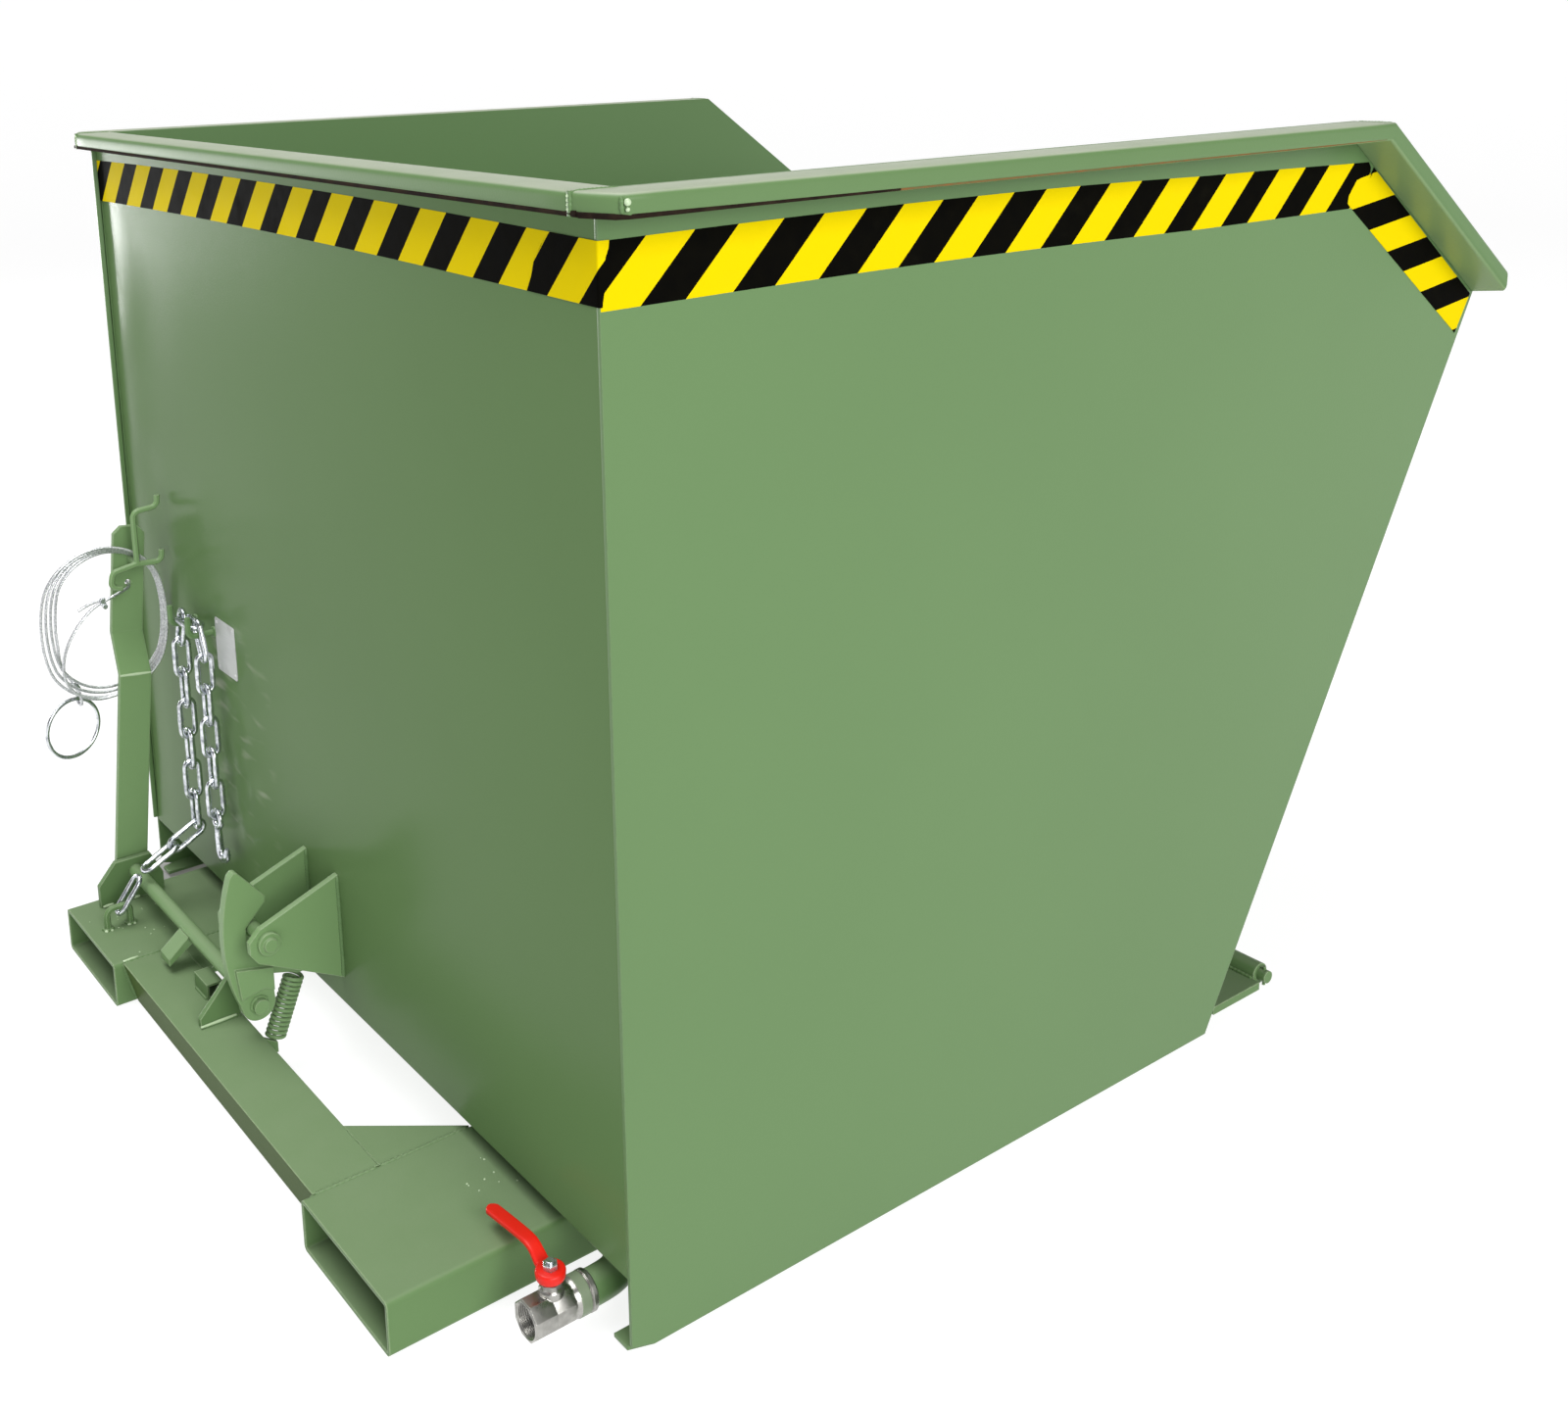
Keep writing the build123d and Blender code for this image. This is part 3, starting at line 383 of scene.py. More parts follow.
sweep = bpy.data.objects.new("sweep", sweep_mesh)
bpy.context.scene.collection.objects.link(sweep)
print("sweep faces", len(sweep_mesh.polygons))

# %% Its white, and a painted shadow beside the left fork pocket
white, painted_shade = (1, 1, 1, 1), (0.12, 0.12, 0.11, 1)
f = Finish("sweep_white")
# The glow is painted dark grey in a soft patch under the trough beside the left fork pocket: a painted shadow.
across = f.along((0, 1, 0))
beside = f.ramp(across, 0.36, 0.44) * f.ramp(across, 0.66, 0.61)
painted_shadow_patch = f.ramp(f.along((1, 0.3, 0)), -0.47, -0.40) * beside * (f.along((1, 0, 0)) < 0.3)
sweep_paint = f.surface({
    "Base Color": (0.25, 0.25, 0.25, 1),
    "Roughness": 1.0,
    "Specular IOR Level": 0.0,
    "Emission Color": f.mix(painted_shadow_patch, white, painted_shade),
    "Emission Strength": 0.86,
})
sweep_mesh.materials.append(sweep_paint)

# %% Room and soft lights
room = bpy.data.worlds.new("bright_room")
room.use_nodes = True
backdrop = room.node_tree.nodes["Background"].inputs
backdrop["Color"].default_value = white
backdrop["Strength"].default_value = 0.15
bpy.context.scene.world = room
bpy.context.scene.view_settings.view_transform = "Standard"


def soft_light(name, place, target, size, power):
    """A square light panel that faces a point."""
    lamp = bpy.data.lights.new(name, "AREA")
    lamp.size = size
    lamp.energy = power
    panel = bpy.data.objects.new(name, lamp)
    panel.visible_camera = False
    panel.location = place
    panel.rotation_euler = (Vector(target) - Vector(place)).to_track_quat("-Z", "Y").to_euler()
    bpy.context.scene.collection.objects.link(panel)


soft_light("panel_right", (-1.2, -6.5, 3.4), (0.1, 0, 0.5), 4.0, 440)
soft_light("panel_top", (-1.5, 1.0, 6.0), (0, 0, 0.6), 4.5, 410)
soft_light("panel_left", (-1.6, 7.0, 0.4), (-0.57, 0.6, 0.8), 1.0, 80)
print("stage and", len(bpy.data.lights), "lights")

# %% [markdown]
# ## Green paint
# The whole container is sprayed with satin paint. On the real thing it is slightly uneven, has the fine skin
# of an orange, is paler on the edges, partly where it is worn thin and partly as a painted highlight, and shines
# more on edges because they are round. The edges could be rounded in the mesh; a bevel node gives the same light
# without touching the CAD mesh.
# Trough, base and latch each have their own shade of green: the latch's lighter copy is painted light, and the
# rear wall's darker copy is painted shade. The rear of the cross member is darkened as painted shade, the rim's
# underside is lightened as painted light, and dust and a painted sheen pale the top of the rim.

# %% Paint
pale_green, dust_sheen_grey = colour(178, 196, 160), colour(178, 180, 166)
peel_depth = 0.00012


def paint(
    name, base, roughness=0.36, shine=0.3, dust=0.1, edge_radius=0.0022, wear=0.2, facing_painted_light=None, marks=None
):
    """Satin paint: cloudy colour, pale edges (worn, and a painted highlight), dust and painted sheen on level
    faces, and an orange-peel skin.

    Faces that look one way may get a colour of their own as painted light or shade, and a mask of painted glints
    may be mixed in."""
    f = Finish(name)
    normal = f.rounded(edge_radius)
    drift = f.cloud(2.2, 4.0)
    speck = f.cloud(160.0, 2.0)
    # Paler near edges: partly worn paint, partly a painted highlight.
    worn_and_highlit = f.ramp(f.edge(normal) * (0.7 + speck * 0.6), 0.25, 0.8)
    # Level faces pale towards grey: dust, and on the rim's top mainly a painted sheen.
    dust_and_sheen_mask = f.ramp(f.facing(normal, (0, 0, 1)), 0.6, 0.97) * (0.6 + f.cloud(9.0, 5.0, 0.65) * 0.8)
    cloudy = f.mix(f.ramp(drift, 0.3, 0.7) * 0.35, base, tuple(0.9 * part for part in base[:3]) + (1,))
    # Faces that look the given way take its colour: painted light or painted shade.
    if facing_painted_light:
        cloudy = f.mix(f.ramp(f.facing(normal, facing_painted_light[0]), 0.5, 0.75), cloudy, facing_painted_light[1])
    # Here the marks are painted glints.
    if marks:
        cloudy = f.mix(marks(f), cloudy, dust_sheen_grey)
    dust_and_sheen_colour = f.mix(dust_and_sheen_mask * dust, cloudy, dust_sheen_grey)
    return f.surface({
        "Base Color": f.mix(worn_and_highlit * wear, dust_and_sheen_colour, pale_green),
        "Roughness": roughness + drift * 0.1 + speck * 0.05 - 0.07,
        "Normal": f.bump(f.cloud(420.0, 2.0) + drift * 2.0, peel_depth, normal),
        "Specular IOR Level": shine,
    })


# %% The paints of trough, rim, base and latch


def painted_dent_glints(f):
    """Pale streaks right of the chain: painted glints, as off small dents where it has knocked against the wall.
    """
    y, z = f.along((0, 1, 0)), f.along((0, 0, 1))
    zone = f.ramp(y, 0.13, 0.19) * f.ramp(y, 0.35, 0.30) * f.ramp(z, 0.13, 0.19) * f.ramp(z, 0.50, 0.42)
    return f.ramp(f.cloud(30.0, 1.0, 0.5, f.stretched((1.0, 0.4, 1.8))), 0.56, 0.84) * zone * 0.55


base_look = {"roughness": 0.34, "dust": 0.14, "edge_radius": 0.0030, "wear": 0.7}
green_paint = paint("green_paint", colour(91, 121, 76))
# A darker copy of the trough's green for the rear wall: painted shade.
wall_paint = paint("wall_paint", colour(89, 116, 73), roughness=0.22, shine=0.045, marks=painted_dent_glints)
# The rim's faces that look down are painted lighter: painted light.
rim_underside_painted_light = ((0, 0, -1), colour(122, 148, 102))
# The rim's top is paled strongly, by dust and a painted sheen.
rim_paint = paint("rim_paint", colour(92, 120, 77), roughness=0.38, shine=0.16, dust=0.55, facing_painted_light=rim_underside_painted_light)
base_paint = paint("base_paint", colour(94, 122, 79), shine=0.08, **base_look)
# Faces of the cross member that look back are painted darker: painted shade.
cross_rear_painted_shade = ((-1, 0, 0), colour(72, 91, 50))
cross_paint = paint("cross_paint", colour(95, 123, 80), shine=0.004, facing_painted_light=cross_rear_painted_shade, **base_look)
# A lighter copy of the green for latch, brackets, beads and spring: painted light.
frame_paint = paint(
    "frame_paint", colour(113, 143, 96), roughness=0.34, shine=0.2, dust=0.14, edge_radius=0.0024, wear=0.6
)
# Pale glossy green for spatter and bright beads: its paleness is a painted glint.
wet_paint = paint("wet_paint", colour(176, 196, 160), roughness=0.14, shine=0.6, dust=0.0)
print("paints:", ", ".join(item.name for item in bpy.data.materials if "paint" in item.name))

# %% [markdown]
# ## Bright metal
# Chain, ring, cable and valve are bare or plated. Zinc has a soft, blotchy shine, and drawn wire has fine
# lines. All of them are fully metallic; the roughness and a little grey in the colour do the rest.

# %% Plated steel, galvanised steel, rope wire and nickel


def plated(name, bright, dull, rough, blotch, grain=0.00003):
    """Plated metal with blotches of duller plating."""
    f = Finish(name)
    normal = f.rounded(0.0008)
    patch = f.ramp(f.cloud(blotch, 3.0, 0.6), 0.35, 0.68)
    fine = f.cloud(1400.0, 2.0)
    return f.surface({
        "Base Color": f.mix(patch, bright, dull),
        "Metallic": 1.0 - patch * 0.12,
        "Roughness": rough + patch * 0.14 + fine * 0.06,
        "Normal": f.bump(fine + patch * 0.6, grain, normal),
    })


zinc = plated("zinc_steel", colour(226, 229, 232), colour(168, 172, 176), 0.14, 70.0)
galvanised = plated("galvanised", colour(228, 231, 236), colour(160, 166, 172), 0.12, 110.0, 0.00006)
rope_wire = plated("wire_rope", colour(234, 235, 237), colour(178, 180, 184), 0.26, 500.0)
nickel = plated("valve_nickel", colour(178, 177, 172), colour(150, 149, 144), 0.24, 60.0, 0.00004)
chrome = plated("chrome_ball", colour(226, 228, 230), colour(190, 192, 194), 0.08, 60.0)
print("metals ready")

# %% [markdown]
# ## Pull cable
# A steel rope, 4 mm thick, leaves the lever's hole, is clipped, hangs in a loose coil of nearly four rounds
# over the hanger and ends at a pull ring. The photograph shows all of it, about 2.5 m. It could be a chain of
# straight runs and arcs, but a rope has no corners, so its line is one smooth NURBS curve.

# %% The cable's line
rope = 4
coil_centre = (-90, 440)
coil_radius, coil_straight = 82, 20
coil_start, coil_pitch, coil_rounds, coil_fan = 458, 6.1, 3, 8
coil_right = coil_centre[0] + coil_radius
points_a_turn = 16

lead_in = (
    (-48, 488, 482), (-48, 474, 482), (-54, 462, 481), (-68, 456, 478.5), (-82, 454, 474.5), (-106, 454, 466),
    (-126, 454, 448), (-142, 454, 425), (-150.5, 454.5, 400), (-150, 455.5, 375), (-138, 457, 353),
    (-116, 458, 340), (-94, 458, 337),
)
cable_route = [spot(*point) for point in lead_in]


def coil_point(step):
    """A control point of the coil; step 0 is the right side of the first round."""
    turn = 2 * pi * step / points_a_turn
    rounds = max(0, step // points_a_turn)
    radius = coil_radius - rounds * coil_fan / 2
    middle = coil_right - radius
    outward = radius / cos(pi / points_a_turn)
    shift = coil_straight if sin(turn) > 0.01 else -coil_straight if sin(turn) < -0.01 else 0
    z = coil_centre[1] + shift + outward * sin(turn)
    return spot(middle + outward * cos(turn), coil_start + coil_pitch * max(0, step / points_a_turn), z)


last_step = coil_rounds * points_a_turn + points_a_turn // 2
cable_route += [coil_point(step) for step in range(1 - points_a_turn // 4, last_step + 1)]
coil_end = coil_start + (coil_rounds + 0.5) * coil_pitch
last_left = coil_right - 2 * coil_radius + coil_rounds * coil_fan
cable_route += [
    spot(last_left, coil_end, 416),
    spot(last_left, coil_end, 398),
    spot(-145, coil_end + 2, 381),
    spot(-134, coil_end + 5, 364),
    spot(-126, coil_end + 6, 350),
]
tail_end = cable_route[-1]
tail_way = (cable_route[-1] - cable_route[-2]).normalized()
eye_low, eye_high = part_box("ring_eye")
eye_centre = (eye_low + eye_high) / 2
for y, z in ((-8, 4), (-10, -5), (-5.5, -10), (5.5, -10), (10, -5), (8, 4), (1.5, 10)):
    cable_route.append(eye_centre + Vector((0, y, z)) / 1000)
print("cable control points:", len(cable_route))

# %% [markdown]
# ### Strands
# A wire rope is six strands twisted round a core. A bump could draw them, but at the coil the rope is close
# to the eye, so the strands are real: six thin bars that wind round points read from the NURBS curve.

# %% Strands laid round the line


def smooth_line(route, steps):
    """Points of an open NURBS curve with these control points."""
    curve = bpy.data.curves.new("route", "CURVE")
    curve.dimensions = "3D"
    curve.resolution_u = steps
    spline = curve.splines.new("NURBS")
    spline.points.add(len(route) - 1)
    for point, place in zip(spline.points, route):
        point.co = (*place, 1)
    spline.order_u = 3
    spline.use_endpoint_u = True
    holder = bpy.data.objects.new("route", curve)
    bpy.context.scene.collection.objects.link(holder)
    bpy.context.view_layer.update()
    mesh = bpy.data.meshes.new_from_object(holder)
    line = [corner.co.copy() for corner in mesh.vertices]
    bpy.data.objects.remove(holder)
    bpy.data.curves.remove(curve)
    bpy.data.meshes.remove(mesh)
    return line


def line_length(line):
    return sum((after - before).length for before, after in zip(line, line[1:]))


def lay_rope(shape, line, strands=6, lay=0.026, diameter=rope / 1000):
    """Strands twisted round a line, with a core that fills the middle."""
    strand = diameter / 6
    ring = diameter / 2 - strand
    run, turns = 0.0, [0.0]
    for before, after in zip(line, line[1:]):
        run += (after - before).length
        turns.append(2 * pi * run / lay)
    frames = carried_frames(line)
    for number in range(strands):
        start = 2 * pi * number / strands
        path = []
        for (tangent, across, beside), point, turn in zip(frames, line, turns):
            path.append(point + (across * cos(start + turn) + beside * sin(start + turn)) * ring)
        shape.bar(path, strand * 1.08, 5)
    shape.bar(line, ring * 0.8, 6)
    return shape


cable_line = smooth_line(cable_route, 14)
cable_nodes = ["pull_cable", "pull_cable_coil", "ring_tail", "ring_eye"]
cable = lay_rope(Shape(), cable_line).piece("pull_cable_rope", "latch", "wire_rope", rope_wire, cable_nodes, 60)
cable_length = line_length(cable_line)
print("cable length", round(cable_length, 3), "m")

# %% [markdown]
# ### Ends of the cable
# The clip is a saddle with a small U-bolt and two nuts; the cut end of the rope sticks out past it. At the
# other end the rope turns back round the pull ring and is held by a pressed sleeve. The ring itself is a
# welded ring of plated bar.

# %% Where the clip sits
clip_from_hole = 0.067
clip_middle, clip_way = cable_line[0], Vector((-1, 0, 0))
clip_reach = 0.0
for before, after in zip(cable_line, cable_line[1:]):
    clip_reach += (after - before).length
    if clip_reach > clip_from_hole:
        clip_middle, clip_way = after, (after - before).normalized()
        break
clip_side = clip_way.cross(Vector((0, 1, 0))).normalized()
clip_front = clip_side.cross(clip_way)


def in_clip(along, side, front):
    """A point near the clip, in millimetres along the rope, above it and towards the camera."""
    return clip_middle + (clip_way * along + clip_side * side + clip_front * front) / 1000


print("clip at", [round(part, 3) for part in clip_middle])

# %% Clip and free end
clip, bow_r = Shape(), 4.3
bow = [in_clip(0, -bow_r, -7), in_clip(0, -bow_r, 2)]
bow += [in_clip(0, -bow_r * cos(k * pi / 8), 2 + bow_r * sin(k * pi / 8)) for k in range(1, 8)]
bow += [in_clip(0, bow_r, 2), in_clip(0, bow_r, -7)]
clip.bar(bow, 0.0016, 8)
nut = [(-2.6, 3.6, 3.0), (0.2, 3.8, 3.1), (1.8, 3.8, 3.1)]
for side in (-bow_r, bow_r):
    clip.turned(in_clip(0, side, -6.6), -clip_front, nut, 24, 6)
saddle = [in_clip(along, 0, -2.9) for along in (-3.4, -2.8, 2.8, 3.4)]
clip.bar(saddle, [0.0030, 0.0042, 0.0042, 0.0030], 14)
clip_piece = clip.piece("rope_clip", "latch", "zinc_steel", zinc, ["cable_clip"])

free_points = ((-6, -3.4, 1), (2, -4, 1), (10, -5.5, 1.5), (20, -6, 2), (31, -5, 2.5))
free_line = smooth_line([in_clip(*point) for point in free_points], 8)
free_end = lay_rope(Shape(), free_line).piece("rope_free_end", "latch", "wire_rope", rope_wire)

# %% Sleeve and ring
sleeve_steps = [(0, 2.6), (0.8, 3.5), (6, 3.7), (13.5, 3.7), (14.5, 2.6)]
sleeve = Shape().turned(tail_end - tail_way * 0.013, tail_way, sleeve_steps, 20)
sleeve_piece = sleeve.piece("rope_sleeve", "latch", "zinc_steel", zinc)

ring_low, ring_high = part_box("pull_ring")
ring_centre = (ring_low + ring_high) / 2
ring_wire = (ring_high.y - ring_low.y) / 2
ring_radius = (ring_high.x - ring_low.x) / 2 - ring_wire
ring_parts, ring_joint, ring_heading = 72, 40, radians(18)
ring_way = Vector((cos(ring_heading), sin(ring_heading), 0))
ring_turns = [2 * pi * k / ring_parts for k in range(ring_parts)]
ring_line = [ring_centre + (ring_way * cos(t) + Vector((0, 0, sin(t)))) * ring_radius for t in ring_turns]
ring_sizes = [ring_wire] * ring_parts
for place, swell in ((-1, 1.09), (0, 1.14), (1, 1.09)):
    ring_sizes[ring_joint + place] *= swell
ring_piece = Shape().bar(ring_line, ring_sizes, 14, True).piece(
    "pull_ring_bar", "latch", "zinc_steel", zinc, ["pull_ring"], 60
)

# %% [markdown]
# ## Rear wall
# The rear wall is one sheet, pulled a little out of flat by the welding behind it. The photograph shows small
# bumps beside the chain and soft waves at the left edge. Bump maps would not show in a side light, so the
# sheet is a real grid whose corners move out by a millimetre or two, and it takes the flat solid's place.

# %% Wavy sheet with weld bumps
wall_low, wall_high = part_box("rear_wall")
bumps = [
    (216, 462, 11, 1.3), (183, 425, 12, 1.5), (273, 377, 10, 1.2), (234, 347, 11, 1.5), (299, 283, 9, 1.2),
    (260, 294, 10, 1.5), (213, 265, 12, 1.4), (255, 206, 13, 1.8), (327, 237, 9, 1.0), (306, 589, 34, 1.6),
    (538, 800, 40, 2.0), (529, 687, 34, 2.2), (504, 637, 30, -1.6), (456, 830, 55, -1.8), (520, 540, 40, 1.6),
]
tape_foot, calm_edge = 0.955, 0.05
wave_height, waves_a_metre = 1.5, 2.4


def wall_wave(y, z):
    """How far the sheet stands out, in metres; nothing along its edges and under the tape."""
    inset = min(z - wall_low.z, max(0.0, tape_foot - z), y - wall_low.y, wall_high.y - y)
    calm = min(1.0, inset / calm_edge)
    wave = wave_height * noise.noise(Vector((waves_a_metre * y, waves_a_metre * z, 5.3)))
    for middle, height, width, rise in bumps:
        apart = hypot(1000 * y - middle, 1000 * z - height) / width
        if apart < 4:
            wave += rise * exp(-apart * apart / 2)
    pulled = max(0.0, (y - 0.50) / 0.1) if z < 0.99 else 0.0
    return (calm * wave - 3.2 * pulled * pulled * min(1.0, (z - wall_low.z) / 0.1)) / 1000


print("bumps in the wall:", len(bumps))

# %% A sheet with two skins


def sheet_faces(shape, rows):
    """Joins rows of points into one skin."""
    start, count = len(shape.corners), len(rows[0])
    for row in rows:
        shape.corners.extend(row)
    for i in range(len(rows) - 1):
        for k in range(count - 1):
            first = start + i * count + k
            shape.faces.append((first, first + 1, first + count + 1, first + count))


def border(rows):
    """The points round the edge of a grid, in order."""
    left, right = [row[0] for row in rows], [row[-1] for row in rows]
    return rows[0] + right[1:] + rows[-1][-2::-1] + left[-2:0:-1]


def slab(rows, behind):
    """A sheet of metal: a front skin, a back skin and the cut edge between them."""
    shape = Shape()
    back = [[point + behind for point in row] for row in rows]
    sheet_faces(shape, rows)
    sheet_faces(shape, back)
    shape.rings([border(rows), border(back)])
    del shape.faces[-2:]
    merged, numbers, seen = [], [], {}
    for corner in shape.corners:
        key = tuple(round(part * 1e6) for part in corner)
        if key not in seen:
            seen[key] = len(merged)
            merged.append(corner)
        numbers.append(seen[key])
    shape.faces = [tuple(numbers[k] for k in face) for face in shape.faces]
    shape.corners = merged
    return shape


wall_cells_up, wall_cells_across = 104, 130
wall_rows = []
for i in range(wall_cells_up + 1):
    z = wall_low.z + (wall_high.z - wall_low.z) * i / wall_cells_up
    row = []
    for k in range(wall_cells_across + 1):
        y = wall_low.y + (wall_high.y - wall_low.y) * k / wall_cells_across
        row.append(Vector((wall_low.x - wall_wave(y, z), y, z)))
    wall_rows.append(row)
wall_sheet = slab(wall_rows, Vector((wall_high.x - wall_low.x, 0, 0)))
wall_sheet.piece("rear_wall_sheet", "container", "green_paint", wall_paint, ["rear_wall"])

# %% [markdown]
# ## Rim
# The rim is a flat tube with round edges, bent down along the slope and mitred at the rear corners. Its round
# edges catch the light all along the container, so here they are geometry: a rounded section is carried from
# one end to the other, and at the corners it turns about the inner corner of the wall.

# %% Rounded rim tube
rim_top, rim_high, rim_wide, rim_round = 1069, 20, 50, 6.0
slope_break, lip_x, lip_z, slope_drop = 1029, 1310, 863, 0.7365
slope_sin, slope_cos = 0.593, 0.805
bend_lean, lip_cut = 0.329, 23


def rim_section(inner_round):
    """The section as (outward, depth) pairs, with its four corners rounded."""
    section = []
    outer, inner = (rim_wide, rim_round), (0, inner_round)
    for number, ((u, r), h) in enumerate(((outer, 0), (outer, rim_high), (inner, rim_high), (inner, 0))):
        middle_u, middle_h = (u - r if u else r), (h - r if h else r)
        for k in range(6):
            turn = radians(90 * number - 90 + 18 * k)
            section.append((middle_u + r * cos(turn), middle_h + r * sin(turn)))
    return section


def flat_row(inner, outer, inner_round):
    """A ring between an inner and an outer point in plan, given in millimetres."""
    row = []
    for u, h in rim_section(inner_round):
        share = u / rim_wide
        x, y = (a + (b - a) * share for a, b in zip(inner, outer))
        row.append(spot(x, y, rim_top - h))
    return row


def slope_row(side, at_lip):
    """The ring at the bend or at the lip, whose outer end is cut back."""
    row = []
    for u, h in rim_section(1.0):
        x, z = slope_break - h * bend_lean, rim_top - h
        if at_lip:
            full = lip_x - h * slope_sin
            x = min(full, lip_x - lip_cut * u / rim_wide)
            z = lip_z - h * slope_cos + (full - x) * slope_drop
        row.append(spot(x, side * (600 + u), z))
    return row


# %% From lip to lip
corner = (25, -600)
half_rim = [(corner, (-25, -592), 5.0), (corner, (-22.4, -607.6), 2.0)]
half_rim += [(corner, outer, 1.0) for outer in ((-10.6, -642.4), (-2, -650), (25, -650))]
half_rim += [((x, -600), (x, -650), 1.0) for x in (200, 400, 600, 800, 980)]
right_rows = [flat_row(*station) for station in half_rim] + [slope_row(-1, False), slope_row(-1, True)]
left_rows = [[Vector((point.x, -point.y, point.z)) for point in row] for row in right_rows]
middle_rows = [flat_row((25, y), (-25, y), 5.0) for y in (560, 200, -200, -560)]
rim_shape = Shape().rings(left_rows[::-1] + middle_rows + right_rows)
rim_shape.piece("rim_tube", "container", "green_paint", rim_paint, ["rim_left", "rim_right", "rim_rear"])

# %% [markdown]
# ### Edge of the left wall
# The photograph shows the left wall's edge as a thin strip beside the rear wall, because the sheet stands out
# a few millimetres past it. A narrow bar with eased corners shows that edge and leaves the CAD wall as it is.

# %% The standing edge
stand_out, wall_inside, wall_outside = -5.5, 596, 600
edge_rows = []
for z, ease in ((86, 1.2), (90, 0.4), (400, 0.4), (700, 0.4), (1040, 0.4), (1048, 1.2)):
    edge_rows.append([
        spot(1, wall_inside, z), spot(stand_out + ease, wall_inside, z), spot(stand_out, wall_inside + 0.6, z),
        spot(stand_out, wall_outside - 0.6, z), spot(stand_out + ease, wall_outside, z), spot(1, wall_outside, z),
    ])
Shape().rings(edge_rows).piece("side_wall_edge", "container", "green_paint", green_paint)

# %% [markdown]
# ## Hazard tape
# A yellow and black warning tape runs under the rim round the back and along the sides, and turns down along
# the slope in front. It is five to six centimetres wide, with stripes that lean to the right, cut with
# scissors and torn by hand at the overlaps. The stripes could be single patches of mesh; here they are sums
# that depend only on how far the point lies along the tape and how high up, so every end can be cut freely.

# %% Tape finish
stripe_pitch, yellow_share = 0.0939, 0.52
tape_yellow, tape_black = colour(212, 189, 4), colour(6, 6, 6)


def tape_finish(name, way, rise, place, lean=0.97):
    """Leaning stripes along a direction; a yellow stripe starts at the place."""
    f = Finish(name)
    run = f.along(way) - f.along(rise) * lean
    shift = Vector(way).dot(place) - Vector(rise).dot(place) * lean
    share = ((run - shift) / stripe_pitch) % 1.0
    soft = f.cloud(55.0, 3.0)
    grime = f.ramp(f.cloud(18.0, 5.0, 0.6), 0.55, 0.8)
    stripes = f.mix(share > yellow_share, tape_yellow, tape_black)
    faded = f.mix(soft * 0.012, stripes, colour(120, 110, 60))
    return f.surface({
        "Base Color": f.mix(grime * 0.02, faded, colour(96, 92, 70)),
        "Roughness": 0.44 + soft * 0.12 + grime * 0.15,
        "Specular IOR Level": 0.004,
        "Normal": f.bump(soft + f.cloud(700.0) * 0.3, 0.00025),
    })


upward = Vector((0, 0, 1))
slope_way, slope_rise = Vector((slope_cos, 0, -slope_sin)), Vector((slope_sin, 0, slope_cos))
rear_way, side_way = Vector((0, -1, 0)), Vector((1, 0, 0))
round_corner = Vector((1, -1, 0))
rear_tape = tape_finish("tape_rear", rear_way, upward, spot(0, 586, 980), 0.95)
end_tape = tape_finish("tape_end", round_corner, upward, spot(0, -523, 976))
side_tape = tape_finish("tape_side", side_way, upward, spot(85, 0, 972), 0.99)
slope_tape = tape_finish("tape_slope", slope_way, slope_rise, spot(1065.4, 0, 943), 1.05)
print("tape stripes every", stripe_pitch, "m")

# %% Strips of tape
tape_cells = 8
straight_cut = [0] * (tape_cells + 1)


def tape_strip(name, stations, finish, first_cut=straight_cut, last_cut=straight_cut):
    """A strip along stations of (lower point, upper point, outward); the cuts shift the ends along it."""
    rows, last = [], len(stations) - 1
    for number, (lower, upper, outward) in enumerate(stations):
        near, far = stations[max(0, number - 1)], stations[min(last, number + 1)]
        way = ((far[0] + far[1]) - (near[0] + near[1])).normalized()
        cut = first_cut if number == 0 else last_cut if number == last else straight_cut
        line = []
        for k in range(tape_cells + 1):
            place = lower.lerp(upper, k / tape_cells) + way * cut[k] / 1000
            curl = 0.00025 if k in (0, tape_cells) else 0.0004 + 0.0001 * noise.noise(place * 60)
            line.append((place + outward * curl, place - outward * 0.0003))
        rows.append([front for front, back in line] + [back for front, back in reversed(line)])
    return Shape().rings(rows).piece(name, "container", "green_paint", finish, sharp=60)


# %% Tape on the rear wall, and its torn end round the corner
behind, rightward, leftward = Vector((-1, 0, 0)), Vector((0, -1, 0)), Vector((0, 1, 0))
rear_width = 0.0535


def rear_edge(y):
    """Height of the rear tape's lower edge; it was laid by hand and rises a little in the middle."""
    return 982.5 - 8 * ((y - 120) / 720) ** 2


def rear_stations(start, end, x, parts):
    """Stations along the rear wall, from one y to another."""
    stations = []
    for k in range(parts + 1):
        y = start + (end - start) * k / parts
        low = spot(x, y, rear_edge(y))
        stations.append((low, low + upward * rear_width, behind))
    return stations


tape_strip("hazard_tape_rear", rear_stations(599, -545, 0, 60), rear_tape)

corner_low = rear_edge(-599)
wrap = rear_stations(-531, -598, -0.6, 6)
for turn in (22, 45, 68):
    out = Vector((-cos(radians(turn)), -sin(radians(turn)), 0))
    place = spot(1.0, -599.0, corner_low) + out * 0.0016
    wrap.append((place, place + upward * rear_width, out))
for reach in (1.6, 2.6):
    place = spot(reach, -600.6, corner_low)
    wrap.append((place, place + upward * rear_width, rightward))
torn_start, torn_end = [-39, -35, -31, -25, -26, -20, -15, -8, 0], [0, 0.6, 2, 3.5, 5, 3.5, 4, 7, 8]
tape_strip("hazard_tape_corner", wrap, end_tape, torn_start, torn_end)

